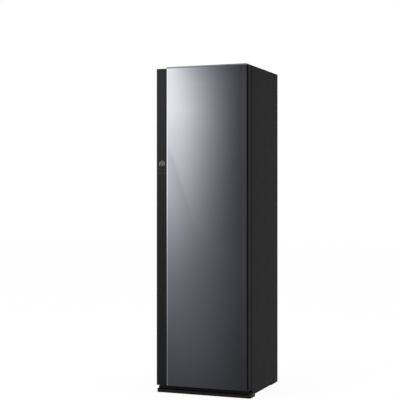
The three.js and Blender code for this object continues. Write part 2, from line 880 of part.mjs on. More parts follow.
// The pipe leaves the compressor's side, turns up and enters the condenser from below.
function refrigerantPipe() {
  const level = onPan + compressorHeight * pipeHeightShare;
  const toPipe = new THREE.Vector2(pipeX - compressorX, pipeY - compressorY);
  const start = toPipe.clone().setLength(compressorRadius + fit);
  const bend = new THREE.Vector3(pipeX, pipeY, level);
  const path = new THREE.CurvePath();
  const inward = new THREE.Vector3(compressorX + start.x, compressorY + start.y, level);
  const before = bend.clone().lerp(inward, pipeStub / (toPipe.length() + pipeStub));
  const after = new THREE.Vector3(pipeX, pipeY, level + pipeStub);
  path.add(new THREE.LineCurve3(inward, before));
  path.add(new THREE.QuadraticBezierCurve3(before, bend, after));
  path.add(new THREE.LineCurve3(after, new THREE.Vector3(pipeX, pipeY, exchangerBottom - fit)));
  const section = new THREE.Shape().absarc(0, 0, pipeRadius, 0, Math.PI * 2);
  const tube = new THREE.ExtrudeGeometry(section, {
    steps: smallSides,
    extrudePath: path,
    curveSegments: smallSides / 2,
  });
  return piece('refrigerant_pipe', join(tube), copper());
}

function steamGenerator() {
  const y = [generatorBack - generatorDepth, generatorBack];
  const z = [onPan, onPan + generatorHeight];
  const x = [-generatorHalfWidth, generatorHalfWidth];
  const neckTop = z[1] + generatorNeckHeight;
  const neck = rod('z', generatorNeckRadius, [z[1], neckTop], [steamX, steamY]);
  const boiler = block(grown(x, -generatorWall), grown(y, -generatorWall), grown(z, -generatorWall));
  const bore = rod('z', steamPipeBore, [z[1] - generatorWall * 2, neckTop + overrun], [steamX, steamY]);
  return piece('steam_generator', cut(join(block(x, y, z), neck), boiler, bore), galvanised());
}

function steamNozzle() {
  const low = onPan + generatorHeight + generatorNeckHeight + fit;
  const flangeLow = chamberFloor + fit;
  const top = flangeLow + nozzleFlange + nozzleHeight;
  const shell = turned([
    [steamPipeBore, low],
    [steamPipeRadius, low],
    [steamPipeRadius, flangeLow],
    [nozzleRadius, flangeLow],
    [nozzleRadius, flangeLow + nozzleFlange],
    [steamPipeRadius + steamPipeBore, top],
    [steamPipeBore, top],
    [steamPipeBore, low],
  ]);
  const mesh = piece('steam_nozzle', shell, darkPlastic());
  mesh.position.set(steamX, steamY, 0);
  return mesh;
}

function waterPump() {
  const left = generatorHalfWidth + pumpSideGap;
  const x = [left, left + pumpWidth];
  const body = block(x, around(steamY, pumpDepth), [onPan, onPan + pumpHeight]);
  const head = rod('x', pumpHeight / 2, x, [steamY, onPan + pumpHeight]);
  const pipeZ = [onPan + pumpHeight, bayFloor - bayWall - fit];
  const pipe = rod('z', pumpPipeRadius, pipeZ, [left + pumpWidth / 2, steamY], smallSides);
  return piece('water_pump', join(body, head, pipe), blackPlastic());
}

function controlBox() {
  const x = [-innerHalf + controlBoxSideGap, -generatorHalfWidth - controlBoxInnerGap];
  const y = [frontFrameBack + controlBoxFrontGap, bayBack - controlBoxBackGap];
  const top = onPan + controlBoxHeight;
  const body = block(x, y, [onPan, top]);
  const lid = block(grown(x, controlBoxRib), grown(y, controlBoxRib), [top - controlBoxRib, top]);
  const inside = block(
    grown(x, -controlBoxWall),
    grown(y, -controlBoxWall),
    [onPan - overrun, top - controlBoxWall],
  );
  return piece('control_box', cut(join(body, lid), inside), darkPlastic());
}

function mainsGland() {
  const at = [glandX, glandHeight];
  const tube = rod('y', glandRadius, [backFace - glandLength, backFace], at);
  const flange = rod('y', glandRadius + glandFlange, [casingBack - glandFlangeLength, casingBack], at);
  const bore = rod('y', glandBore, grown([backFace - glandLength, backFace], overrun), at, smallSides);
  return piece('mains_gland', cut(join(tube, flange), bore), blackPlastic());
}

// Hanger drive. The crank's pin runs in a slot across the carriage and slides it sideways.
const driveZ = [chamberCeiling - fit - driveHeight, chamberCeiling - fit];
const carriageZ = [driveZ[0] + driveWall + fit, driveZ[0] + driveWall + fit + carriageThickness];
const crankZ = [carriageZ[1] + crankLift, carriageZ[1] + crankLift + crankThickness];
const driveMotorZ = [crankZ[1] + crankMotorGap, driveZ[1] - fit];
const stemPlaces = [-stemSpacing / 2, stemSpacing / 2];
const carriageX = grown(stemPlaces, carriageEnd);
const railTop = railHeight + railRadius;

function driveHousing() {
  const x = grown(carriageX, carriageStroke + carriageEndGap + driveWall);
  const y = around(hangingMiddle, driveHalfDepth * 2);
  const inside = block(grown(x, -driveWall), grown(y, -driveWall), [driveZ[0] + driveWall, driveZ[1] + overrun]);
  const slots = stemPlaces.map((place) => block(
    around(place, (stemRadius + carriageStroke + fit) * 2),
    around(hangingMiddle, (stemRadius + fit) * 2),
    grown([driveZ[0], driveZ[0] + driveWall], overrun),
  ));
  return piece('drive_housing', cut(block(x, y, driveZ), inside, ...slots), darkPlastic());
}

function driveMotor() {
  const body = rod('z', driveMotorRadius, driveMotorZ, [0, hangingMiddle]);
  const bore = rod(
    'z',
    crankShaftRadius + fit,
    [driveMotorZ[0] - overrun, driveMotorZ[0] + crankShaftEntry + fit],
    [0, hangingMiddle],
    smallSides,
  );
  return piece('drive_motor', cut(body, bore), bracketSteel());
}

function crank() {
  const disc = rod('z', crankRadius, crankZ, [0, hangingMiddle]);
  const shaftZ = [crankZ[0], driveMotorZ[0] + crankShaftEntry];
  const shaft = rod('z', crankShaftRadius, shaftZ, [0, hangingMiddle], smallSides);
  const pin = rod(
    'z',
    crankPinRadius,
    [carriageZ[0] + fit, crankZ[1]],
    [0, hangingMiddle + crankThrow],
    smallSides,
  );
  return piece('crank', join(disc, shaft, pin), chrome());
}

function hangerCarriage() {
  const plate = block(carriageX, around(hangingMiddle, carriageHalfDepth * 2), carriageZ);
  const slot = block(
    around(0, (crankPinRadius + crankPinRun) * 2),
    around(hangingMiddle, (crankThrow + crankPinRadius + crankPinRun) * 2),
    grown(carriageZ, overrun),
  );
  const stems = stemPlaces.map((place) => (
    rod('z', stemRadius, [railTop + fit, carriageZ[1]], [place, hangingMiddle], smallSides)
  ));
  return piece('hanger_carriage', cut(join(plate, ...stems), slot), darkPlastic());
}

function hangerRail() {
  const rail = rod('x', railRadius, grown(stemPlaces, railEnd), [hangingMiddle, railHeight]);
  return piece('hanger_rail', rail, chrome());
}

function chamberLamp() {
  const front = frontFrameBack + lampSetback;
  const z = [chamberCeiling - fit - lampHeight, chamberCeiling - fit];
  const lamp = block([-lampHalfWidth, lampHalfWidth], [front, front + lampDepth], z);
  return piece('chamber_lamp', lamp, lampDiffuser());
}

// Hangers. Each hook is open at the front, so that it lifts off the rail.
function hanger(name, place) {
  const inner = railRadius + hookRun;
  const outer = inner + hookWall;
  const x = around(0, hangerThickness);
  const ring = cut(
    rod('x', outer, x, [0, 0]),
    rod('x', inner, grown(x, overrun), [0, 0]),
    block(grown(x, overrun), [-outer - overrun, -hangerNeckWidth / 2], [-outer - overrun, 0]),
  );
  const reach = chamberBack - hangingMiddle - hangerEndGap;
  const low = -outer - hangerNeck;
  const arms = drawn([
    [-hangerNeckWidth / 2, -inner - hookWall / 2],
    [-hangerNeckWidth / 2, low],
    [-reach, low - hangerDrop],
    [-reach, low - hangerDrop - hangerArm],
    [0, low - hangerArm],
    [reach, low - hangerDrop - hangerArm],
    [reach, low - hangerDrop],
    [hangerNeckWidth / 2, low],
    [hangerNeckWidth / 2, -inner - hookWall / 2],
  ], x);
  const mesh = piece(name, join(ring, arms), darkPlastic());
  mesh.position.set(place, hangingMiddle, railHeight);
  return mesh;
}

// Wire shelf. Its side wires lie on the ledges of the side walls.
function wireShelf() {
  const x = grown([-chamberHalf, chamberHalf], -shelfSideGap - shelfFrameRadius);
  const y = [frontFrameBack + shelfSetback, chamberBack - shelfBackGap];
  const level = ledgeTop + fit + shelfFrameRadius;
  const sides = x.map((place) => rod('y', shelfFrameRadius, y, [place, level], smallSides));
  const ends = y.map((place) => (
    rod('x', shelfFrameRadius, grown(x, shelfFrameRadius), [place, level], smallSides)
  ));
  const pitch = (x[1] - x[0]) / (shelfWireCount + 1);
  const wires = indices(shelfWireCount).map((index) => (
    rod('y', shelfWireRadius, y, [x[0] + pitch * (index + 1), level], smallSides / 2)
  ));
  return piece('shelf', join(...sides, ...ends, ...wires), chrome());
}

// Door
const doorZ = [doorBottom, doorTop];
const doorX = [-half, half];
const carrierY = [glassBack + fit, doorFrameFront - fit];
const carrierX = [-half + carrierPullInset, half - carrierHingeInset];
const boardX = [carrierX[0] + boardInset, carrierX[0] + boardInset + boardWidth];
const boardZ = around(boardMiddle, boardHeight);

function mirrorGlass() {
  const outline = [
    [mirrorLeft, glassBack],
    [mirrorLeft, frontFace + bevelDepth],
    [mirrorLeft + bevelWidth, frontFace],
    [half - bevelWidth, frontFace],
    [half, frontFace + bevelDepth],
    [half, glassBack],
  ];
  return piece('mirror_glass', raised(outline, [doorBottom, height - trimHeight - fit]), mirror());
}

function mirrorTopTrim() {
  const cap = block([mirrorLeft, half], [frontFace, frontFace + trimDepth], [height - trimHeight, height]);
  const leg = block(
    [mirrorLeft, carrierX[1]],
    [carrierY[0], frontFace + trimDepth],
    [carrierTop + fit, height - trimHeight],
  );
  return piece('mirror_top_trim', join(cap, leg), trimMetal());
}

function controlGlass() {
  const plate = block([-half, -half + stripWidth], [frontFace, glassBack], doorZ);
  return piece('control_glass', plate, blackGlass());
}

function doorCarrier() {
  const z = grown(doorZ, -carrierEndInset);
  const hollow = block(
    grown(carrierX, -carrierWall),
    [carrierY[0] + carrierWall, carrierY[1] + overrun],
    grown(z, -carrierWall),
  );
  const boardSeatY = [carrierY[0], carrierY[0] + boardDepth + fit + carrierWall];
  const boardSeat = block(grown(boardX, fit + carrierWall), boardSeatY, grown(boardZ, fit + carrierWall));
  const pocket = block(
    grown(boardX, fit),
    [carrierY[0] - overrun, carrierY[0] + boardDepth + fit],
    grown(boardZ, fit),
  );
  const shell = cut(block(carrierX, carrierY, z), hollow);
  return piece('door_carrier', cut(join(shell, boardSeat), pocket), blackPlastic());
}

function displayBoard() {
  const board = block(boardX, [carrierY[0], carrierY[0] + boardDepth], boardZ);
  return piece('display_board', board, boardGreen());
}

// The door's steel tray has a solid block behind each hinge pin.
function doorFrame() {
  const y = [doorFrameFront, doorFrameBack];
  const pocket = block(
    grown(doorX, -doorFrameWall),
    [doorFrameFront + doorFrameWall, doorFrameBack + overrun],
    grown(doorZ, -doorFrameWall),
  );
  const blockX = [half - hingeBlockWidth, half];
  const blockY = [doorFrameFront, pivotY + hingeBlockWidth / 2];
  const bore = hingePinRadius + hingePinRun;
  const lower = rod('z', bore, [doorBottom - overrun, doorBottom + hingePinEntry + fit], [pivotX, pivotY]);
  const upper = rod('z', bore, [doorTop - hingePinEntry - fit, doorTop + overrun], [pivotX, pivotY]);
  const tray = join(
    cut(block(doorX, y, doorZ), pocket),
    block(blockX, blockY, [doorBottom, doorBottom + hingeBlockHeight]),
    block(blockX, blockY, [doorTop - hingeBlockHeight, doorTop]),
  );
  return piece('door_frame', cut(tray, lower, upper), blackSteel());
}

// The door's lining has a recess, into which the tanks are drawn forward.
const recessX = grown([-tankX[1], tankX[1]], doorRecessSide);
const recessZ = [tankZ[0] - doorRecessDrop, tankZ[1] + fit + tankLidHeight + doorRecessLift];
const recessY = doorFrameFront + doorFrameWall + doorRecessFrontSpace + doorLinerThickness;

function doorLiner() {
  const y = [doorFrameBack + fit, doorBack];
  const plate = block(grown(doorX, -doorLinerInset), y, grown(doorZ, -doorLinerInset));
  const tub = block(
    grown(recessX, doorLinerThickness),
    [recessY - doorLinerThickness, doorBack],
    grown(recessZ, doorLinerThickness),
  );
  const inside = block(recessX, [recessY, doorBack + overrun], recessZ);
  return piece('door_liner', cut(join(plate, tub), inside), linerPlastic());
}

function doorGasket() {
  const y = [doorBack + fit, bodyFront - fit];
  const inner = [grown([-chamberHalf, chamberHalf], gasketInset), grown([openingBottom, openingTop], gasketInset)];
  const outer = inner.map((span) => grown(span, gasketWidth));
  const ring = cut(block(outer[0], y, outer[1]), block(inner[0], grown(y, overrun), inner[1]));
  return piece('door_gasket', ring, rubber());
}

// Trouser press. The base carries the pin between two ears, and the plate swings on it.
const pressZ = [pressBottom, pressBottom + pressHeight];
const pressBaseY = [doorBack + fit, doorBack + fit + pressBaseDepth];
const pressPlateY = [pressBaseY[1] + fit, pressBaseY[1] + fit + pressPlateDepth];
const knuckleRadius = pressPlateDepth / 2;
const pressHalfWidth = chamberHalf - pressSideGap;
const pressPivotX = -pressHalfWidth - knuckleRadius;
const pressPivotY = (pressPlateY[0] + pressPlateY[1]) / 2;

function pressBase() {
  const at = [pressPivotX, pressPivotY];
  const x = [pressPivotX - knuckleRadius, pressHalfWidth];
  const hollow = block(
    [pressPivotX + knuckleRadius, pressHalfWidth - pressWall],
    [pressBaseY[0] - overrun, pressBaseY[1] - pressWall],
    grown(pressZ, -pressEar - pressWall),
  );
  const board = cut(block(x, pressBaseY, pressZ), hollow);
  const earX = around(pressPivotX, knuckleRadius * 2);
  const earY = [pressBaseY[0], pressPlateY[1]];
  const ears = [
    block(earX, earY, [pressZ[0], pressZ[0] + pressEar]),
    block(earX, earY, [pressZ[1] - pressEar, pressZ[1]]),
  ];
  const pin = rod('z', pressPinRadius, grown(pressZ, -pressEar / 2), at, smallSides);
  return piece('press_base', join(board, ...ears, pin), darkPlastic());
}

function pressPlate() {
  const at = [pressPivotX, pressPivotY];
  const z = grown(pressZ, -pressEar - pressHingeGap);
  const plate = block([pressPivotX, pressHalfWidth], pressPlateY, z);
  const knuckle = rod('z', knuckleRadius, z, at);
  const bore = rod('z', pressPinRadius + pressPinRun, grown(z, overrun), at, smallSides);
  const pitch = (pressHalfWidth * 2) / pressRibCount;
  const grooves = indices(pressRibCount).map((index) => block(
    around(-pressHalfWidth + pitch * (index + 1 / 2), pitch * pressRibWidthShare),
    [pressPlateY[1] - pressRibDepth, pressPlateY[1] + overrun],
    grown(z, -pressEar),
  ));
  const hollow = block(
    [pressPivotX + knuckleRadius + pressWall, pressHalfWidth - pressWall],
    [pressPlateY[0] - overrun, pressPlateY[1] - pressRibDepth - pressWall],
    grown(z, -pressWall),
  );
  return piece('press_plate', cut(join(plate, knuckle), bore, hollow, ...grooves), linerPlastic());
}

const casing = group(
  sidePanel('side_panel_left', -1),
  sidePanel('side_panel_right', 1),
  topCover(),
  rearCover(),
  frontFrame(),
  basePan(),
  baseBar(),
  kickPlate(),
  rearFoot('foot_rear_left', -1),
  rearFoot('foot_rear_right', 1),
);

const chamber = group(
  sideLiner('liner_left', -1),
  sideLiner('liner_right', 1),
  backLiner(),
  ceilingLiner(),
  floorLiner(),
  chamberInsulation(),
  chamberLamp(),
  wireShelf(),
);

const hinges = group(
  hingeBracket('hinge_bracket_bottom', lowerBracketZ, [lowerBracketZ[0], lowerBracketZ[0] + bracketFlangeHeight]),
  hingeBracket('hinge_bracket_top', upperBracketZ, [upperBracketZ[1] - bracketFlangeHeight, upperBracketZ[1]]),
  lowerHingePin(),
  upperHingePin(),
  hingeCover(),
);

const water = group(
  tankBay(),
  waterTank('drain_tank', -1),
  tankLid('drain_tank_lid', -1),
  waterTank('supply_tank', 1),
  tankLid('supply_tank_lid', 1),
  steamGenerator(),
  steamNozzle(),
  waterPump(),
);

const machines = group(
  airDuct(),
  heatExchanger('evaporator', evaporatorY),
  heatExchanger('condenser', condenserY),
  lintFilter(),
  blowerHousing(),
  blowerMotor(),
  blowerWheel(),
  floorGrille(),
  compressor(),
  refrigerantPipe(),
  controlBox(),
  mainsGland(),
);

const hangerDrive = group(
  driveHousing(),
  driveMotor(),
  crank(),
  hangerCarriage(),
  hangerRail(),
  hanger('hanger_left', -hangerSpacing / 2),
  hanger('hanger_right', hangerSpacing / 2),
);

const door = group(
  mirrorGlass(),
  mirrorTopTrim(),
  controlGlass(),
  doorCarrier(),
  displayBoard(),
  doorFrame(),
  doorLiner(),
  doorGasket(),
  pressBase(),
  pressPlate(),
);

export default group(casing, chamber, hinges, water, machines, hangerDrive, door);
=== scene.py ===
"""The looks of the clothes care cabinet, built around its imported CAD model. Lengths are in metres."""

import json
from math import cos, radians, sin

import bmesh
import bpy
from mathutils import Matrix, Vector


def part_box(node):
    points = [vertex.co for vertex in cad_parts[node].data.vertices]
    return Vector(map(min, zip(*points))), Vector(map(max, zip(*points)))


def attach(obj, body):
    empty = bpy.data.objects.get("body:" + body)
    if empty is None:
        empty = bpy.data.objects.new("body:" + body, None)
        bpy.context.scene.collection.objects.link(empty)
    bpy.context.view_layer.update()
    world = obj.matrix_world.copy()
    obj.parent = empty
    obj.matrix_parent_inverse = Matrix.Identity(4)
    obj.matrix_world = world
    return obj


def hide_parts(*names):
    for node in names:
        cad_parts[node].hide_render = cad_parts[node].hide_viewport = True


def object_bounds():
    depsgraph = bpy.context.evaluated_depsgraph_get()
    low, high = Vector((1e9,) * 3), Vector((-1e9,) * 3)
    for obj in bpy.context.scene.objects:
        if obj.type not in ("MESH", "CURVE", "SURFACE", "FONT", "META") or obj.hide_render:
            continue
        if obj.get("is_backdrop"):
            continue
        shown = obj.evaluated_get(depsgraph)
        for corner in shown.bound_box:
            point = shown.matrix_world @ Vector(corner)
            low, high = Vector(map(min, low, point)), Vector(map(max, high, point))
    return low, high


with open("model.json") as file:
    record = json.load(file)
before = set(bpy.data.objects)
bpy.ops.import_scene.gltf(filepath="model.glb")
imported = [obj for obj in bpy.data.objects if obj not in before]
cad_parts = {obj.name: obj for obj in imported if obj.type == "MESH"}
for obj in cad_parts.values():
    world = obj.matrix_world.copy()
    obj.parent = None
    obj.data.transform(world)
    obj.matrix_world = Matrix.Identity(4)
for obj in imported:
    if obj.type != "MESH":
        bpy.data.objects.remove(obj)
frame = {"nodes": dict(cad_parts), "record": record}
cad_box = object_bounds()
nodes = frame["nodes"]
record = frame["record"]
body_of_node = {node: body for body, names in record["behaviour"]["bodies"].items() for node in names}
slot_of_node = {part["node"]: part["material_slot"] for part in record["subparts"]}
box = {node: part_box(node) for node in nodes}

X, Y, Z = Vector((1, 0, 0)), Vector((0, 1, 0)), Vector((0, 0, 1))
MERGE, SAME_PLACE, LIFT = 1e-6, 1e-5, 0.0002
FLAT, SHARP = radians(0.5), radians(28)
SMOOTH = 32


# Node trees and finishes
def node_of(tree, kind, inputs=None, **settings):
    """A node of a tree, with its inputs linked or set. A kind of the tree's own sort leaves out the prefix."""
    made = tree.nodes.new(kind if "Node" in kind else tree.bl_idname[:-4] + kind)
    for key, value in settings.items():
        setattr(made, key, value)
    for key, value in (inputs or {}).items():
        if isinstance(value, bpy.types.NodeSocket):
            tree.links.new(value, made.inputs[key])
        else:
            made.inputs[key].default_value = value
    return made


def wire(tree, kind, inputs=None, output=0, **settings):
    return node_of(tree, kind, inputs, **settings).outputs[output]


def maths(operation, *values, clamp=False):
    tree = next(value.id_data for value in values if isinstance(value, bpy.types.NodeSocket))
    return wire(tree, "ShaderNodeMath", dict(enumerate(values)), operation=operation, use_clamp=clamp)


def times(first, second, clamp=False):
    return maths("MULTIPLY", first, second, clamp=clamp)


def line(value, factor, shift, clamp=False):
    return maths("MULTIPLY_ADD", value, factor, shift, clamp=clamp)


def blank_finish(name):
    finish = bpy.data.materials.new(name)
    finish.use_nodes = True
    finish.node_tree.nodes.clear()
    return finish, finish.node_tree


def pattern_place(tree, stretch=(1, 1, 1)):
    place = wire(tree, "TexCoord", output="Object")
    return wire(tree, "Mapping", {"Vector": place, "Scale": stretch})


def noise(place, size, detail=3.0):
    """Cloudy noise whose blotches are about this size."""
    return wire(place.id_data, "TexNoise", {"Vector": place, "Scale": 1 / size, "Detail": detail})


def spread(value, low, high, start=0.3, end=0.7):
    inputs = {"Value": value, "From Min": start, "From Max": end, "To Min": low, "To Max": high}
    return wire(value.id_data, "MapRange", inputs)


def blended(share, first, second):
    return wire(share.id_data, "Mix", {0: share, 6: (*first, 1), 7: (*second, 1)}, 2, data_type="RGBA")


def finished(finish, colour, roughness, height=None, depth=0, **sockets):
    """Ends a material with its shader. Other sockets have _ for each space in their names."""
    tree = finish.node_tree
    inputs = {"Base Color": colour, "Roughness": roughness}
    inputs.update({key.replace("_", " "): value for key, value in sockets.items()})
    if height is not None:
        inputs["Normal"] = wire(tree, "Bump", {"Height": height, "Distance": depth})
    shader = wire(tree, "BsdfPrincipled", inputs)
    node_of(tree, "OutputMaterial", {"Surface": shader})
    return finish


def moulded(name, light, dark, grain, depth, rough, specular=0.5, cloud=0.06):
    """Plastic, paint or rubber with a fine grain, cloudy colour and uneven gloss."""
    finish, tree = blank_finish(name)
    place = pattern_place(tree)
    blotch, fine = noise(place, cloud), noise(place, grain, 2.0)
    colour = blended(spread(line(fine, 0.35, blotch), 0.0, 1.0, 0.45, 0.9), dark, light)
    return finished(finish, colour, spread(blotch, *rough), fine, depth, Specular_IOR_Level=specular)


def spangled(name, light, dark):
    """Zinc coated steel, with the crystal flakes that the coating shows."""
    finish, tree = blank_finish(name)
    place = pattern_place(tree)
    flake = wire(tree, "TexVoronoi", {"Vector": place, "Scale": 1 / 0.009}, "Color")
    grey = wire(tree, "SeparateColor", {"Color": flake})
    colour = blended(line(grey, 0.55, times(noise(place, 0.05), 0.45)), dark, light)
    roughness = spread(grey, 0.36, 0.52, 0.0, 1.0)
    return finished(finish, colour, roughness, noise(place, 0.002), 0.00005, Metallic=0.85)


def brushed(name, light, dark, stretch, rough):
    finish, tree = blank_finish(name)
    streak = noise(pattern_place(tree, stretch), 0.004, 4.0)
    smudge = noise(pattern_place(tree), 0.05)
    colour = blended(spread(streak, 0, 1), dark, light)
    roughness = spread(line(smudge, 0.5, streak), *rough, 0.5, 1.0)
    return finished(finish, colour, roughness, streak, 0.00004, Metallic=1.0)


def clear_plastic(name, light, dark):
    """Tinted plastic that lets light through, with faint flow marks."""
    finish, tree = blank_finish(name)
    flow = noise(pattern_place(tree, (1, 1, 0.25)), 0.03, 4.0)
    fine = noise(pattern_place(tree), 0.0015)
    colour = blended(spread(flow, 0, 1), dark, light)
    return finished(finish, colour, spread(flow, 0.16, 0.3), fine, 0.00003, Transmission_Weight=0.55, IOR=1.45)


def glowing(name, colour, other, strength, grain):
    finish, tree = blank_finish(name)
    share = spread(noise(pattern_place(tree), grain), 0, 1)
    shown = blended(share, other, colour)
    roughness = spread(share, 0.4, 0.6, 0, 1)
    return finished(finish, shown, roughness, Emission_Color=shown, Emission_Strength=strength)


def silvered(name, light, dark):
    """Grey mirror glass. Its silvering is almost even, with faint clouds and wipe marks."""
    finish, tree = blank_finish(name)
    cloud = noise(pattern_place(tree, (1, 1, 0.35)), 0.25, 2.0)
    wipe = noise(pattern_place(tree, (1, 1, 0.15)), 0.03, 5.0)
    colour = blended(spread(cloud, 0, 1), dark, light)
    return finished(finish, colour, spread(wipe, 0.018, 0.032), cloud, 0.00001, Metallic=1.0)


# Each slot's look: the function that makes it and what that takes
finishes = {}
for maker, rows in {
    moulded: dict(
        casing_black=(
            "powder_coat_black", (0.0182, 0.0182, 0.0183), (0.0165, 0.0165, 0.0166), 0.0012, 5e-5, (0.5, 0.6), 0.008),
        blackened_steel=(
            "blackened_hinge_steel", (0.021, 0.021, 0.022), (0.014, 0.014, 0.015), 0.0009, 4e-5, (0.4, 0.52), 0.08),
        edge_paint=("dark_edge_paint", (0.03, 0.03, 0.031), (0.022, 0.022, 0.023), 0.002, 3e-5, (0.5, 0.62), 0.05),
        black_glass=(
            "black_printed_glass", (0.0165, 0.0165, 0.0166), (0.0148, 0.0148, 0.0149), 0.0025, 4e-6, (0.1, 0.15),
            0.08, 0.2),
        black_plastic=(
            "black_grained_plastic", (0.0085, 0.0085, 0.0085), (0.006, 0.006, 0.006), 0.0008, 8e-5, (0.55, 0.68), 0.1),
        base_bar_plastic=(
            "bar_grained_plastic", (0.019, 0.0185, 0.0185), (0.0145, 0.014, 0.014), 0.0009, 8e-5, (0.5, 0.62), 0.05),
        liner_plastic=(
            "liner_satin_plastic", (0.64, 0.65, 0.66), (0.58, 0.59, 0.6), 0.0011, 5e-5, (0.38, 0.5), 0.4, 0.15),
        dark_plastic=("graphite_plastic", (0.05, 0.054, 0.06), (0.038, 0.041, 0.046), 0.0009, 7e-5, (0.42, 0.56), 0.3),
        raised_mark=("pale_raised_mark", (0.3, 0.31, 0.32), (0.24, 0.25, 0.26), 0.001, 4e-5, (0.45, 0.55)),
        insulation_foam=("poured_foam", (0.74, 0.68, 0.48), (0.6, 0.53, 0.35), 0.0022, 5e-4, (0.85, 0.95), 0.5, 0.03),
        grey_rubber=("soft_grey_rubber", (0.05, 0.05, 0.052), (0.036, 0.036, 0.038), 0.0014, 8e-5, (0.72, 0.85), 0.25),
        # Near-black foam for real seals, also used as painted shade in grooves, gaps and along lower edges.
        seal_and_painted_shade=(
            "black_seal_and_painted_shade_foam", (0.0032, 0.0032, 0.0032), (0.0022, 0.0022, 0.0022), 0.0015, 2e-4, (0.85, 0.95), 0.01),
        compressor_paint=(
            "compressor_black_paint", (0.016, 0.016, 0.017), (0.01, 0.01, 0.011), 0.003, 1e-4, (0.3, 0.42), 0.35),
        circuit_board=("board_green", (0.02, 0.09, 0.045), (0.01, 0.05, 0.026), 0.003, 5e-5, (0.35, 0.5), 0.5, 0.012),
    ),
    spangled: dict(galvanised_steel=("galvanised_sheet", (0.385, 0.395, 0.41), (0.305, 0.315, 0.33))),
    brushed: dict(
        hinge_steel=("hinge_steel_drawn", (0.14, 0.14, 0.146), (0.09, 0.09, 0.095), (1, 1, 0.1), (0.3, 0.42)),
        trim_metal=("trim_brushed", (0.24, 0.24, 0.247), (0.18, 0.18, 0.187), (0.05, 1, 1), (0.28, 0.4)),
        chrome_steel=("chrome_plate", (0.62, 0.63, 0.65), (0.55, 0.56, 0.58), (1, 1, 1), (0.1, 0.17)),
        copper_tube=("drawn_copper", (0.66, 0.3, 0.16), (0.46, 0.19, 0.1), (1, 1, 0.2), (0.25, 0.4)),
        fin_aluminium=("fin_foil", (0.6, 0.62, 0.63), (0.46, 0.48, 0.49), (1, 1, 0.1), (0.3, 0.42)),
    ),
    silvered: dict(tinted_mirror=("tinted_mirror_glass", (0.3, 0.306, 0.325), (0.293, 0.299, 0.318))),
    clear_plastic: dict(tank_plastic=("smoky_tank_plastic", (0.42, 0.5, 0.56), (0.33, 0.41, 0.47))),
    glowing: dict(
        lamp_diffuser=("opal_diffuser", (0.9, 0.9, 0.85), (0.84, 0.84, 0.79), 0.6, 0.01),
        symbol_light=("strip_symbol_light", (0.2, 0.2, 0.2), (0.16, 0.16, 0.16), 0.28, 0.004),
        symbol_dim=("strip_symbol_dim", (0.06, 0.06, 0.06), (0.045, 0.045, 0.045), 0.05, 0.004),
    ),
}.items():
    for slot, values in rows.items():
        finishes[slot] = maker(*values)


# Outlines and profiles
def extent(node):
    """The corners and the middle of a CAD node's box."""
    low, high = box[node]
    return low, high, (low + high) / 2


def at_level(axis, a, b, level):
    """A point by its two places across an axis and its level along it."""
    return Vector({"x": (level, a, b), "y": (a, level, b), "z": (a, b, level)}[axis])


def arc(x, y, radius, start, end, steps, rise=None):
    """Points on an arc between two angles in degrees. With a rise, it is part of an ellipse."""
    turns = [radians(start + (end - start) * k / steps) for k in range(steps + 1)]
    return [(x + radius * cos(turn), y + (rise or radius) * sin(turn)) for turn in turns]


def circle(radius, sides=12):
    return arc(0, 0, radius, 0, 360, sides)[:-1]


def oblong(half_width, half_height):
    return [(a * half_width, b * half_height) for a, b in ((-1, -1), (1, -1), (1, 1), (-1, 1))]


def oval(half_width, half_height, sides=18, power=0.65):
    """A profile between an ellipse and a box. A lower power is boxier."""
    bend = lambda value: abs(value) ** power * (1 if value >= 0 else -1)
    return [(half_width * bend(a), half_height * bend(b)) for a, b in circle(1, sides)]


def half_round(half_width, rise):
    """The profile of a bead pressed in a sheet, with its root in the sheet."""
    return arc(0, 0, half_width, 0, 180, 8, rise) + [(-half_width, -2 * LIFT), (half_width, -2 * LIFT)]


def outline_of(x, y, radius, steps=6):
    """A rectangle with round corners."""
    left, right, low, high = x[0] + radius, x[1] - radius, y[0] + radius, y[1] - radius
    points = []
    for middle_x, middle_y, start in ((right, high, 0), (left, high, 90), (left, low, 180), (right, low, 270)):
        points += arc(middle_x, middle_y, radius, start, start + 90, steps)
    return points


def round_path(x, y, radius, level, axis="y", steps=6):
    return [at_level(axis, a, b, level) for a, b in outline_of(x, y, radius, steps)]


def inset_plan(low, high, inset, radius, steps=6):
    """The plan of a box, drawn in by an inset, with round corners."""
    return outline_of((low.x + inset, high.x - inset), (low.y + inset, high.y - inset), radius, steps)


def corner_places(low, high, inset_x, inset_y, level):
    return [(x, y, level) for x in (low.x + inset_x, high.x - inset_x) for y in (low.y + inset_y, high.y - inset_y)]


def near(value, other):
    return abs(value - other) < SAME_PLACE


def along(axis, test=None):
    """Picks edges that run along an axis, if one is given, and pass a test on their middle."""
    def picked(edge):
        first, last = (vertex.co for vertex in edge.verts)
        straight = axis is None or abs((last - first).normalized().dot(axis)) > 0.999
        return straight and (test is None or test((first + last) / 2))
    return picked


# Meshes
def linked(name, data):
    thing = bpy.data.objects.new(name, data)
    bpy.context.scene.collection.objects.link(thing)
    return thing


def shown(name, mesh, smooth=SMOOTH):
    """A new object with smooth faces and sharp edges."""
    mesh.shade_smooth()
    mesh.set_sharp_from_angle(angle=radians(smooth))
    return linked(name, mesh)


def settle(piece, like, slot=None, finish=None, replaced=()):
    """Finishes a piece and lets it ride on the body that a CAD node is in."""
    slot = slot or slot_of_node[like]
    piece.data.materials.clear()
    piece.data.materials.append(finishes[finish or slot])
    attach(piece, body_of_node[like])
    if replaced:
        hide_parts(*replaced)


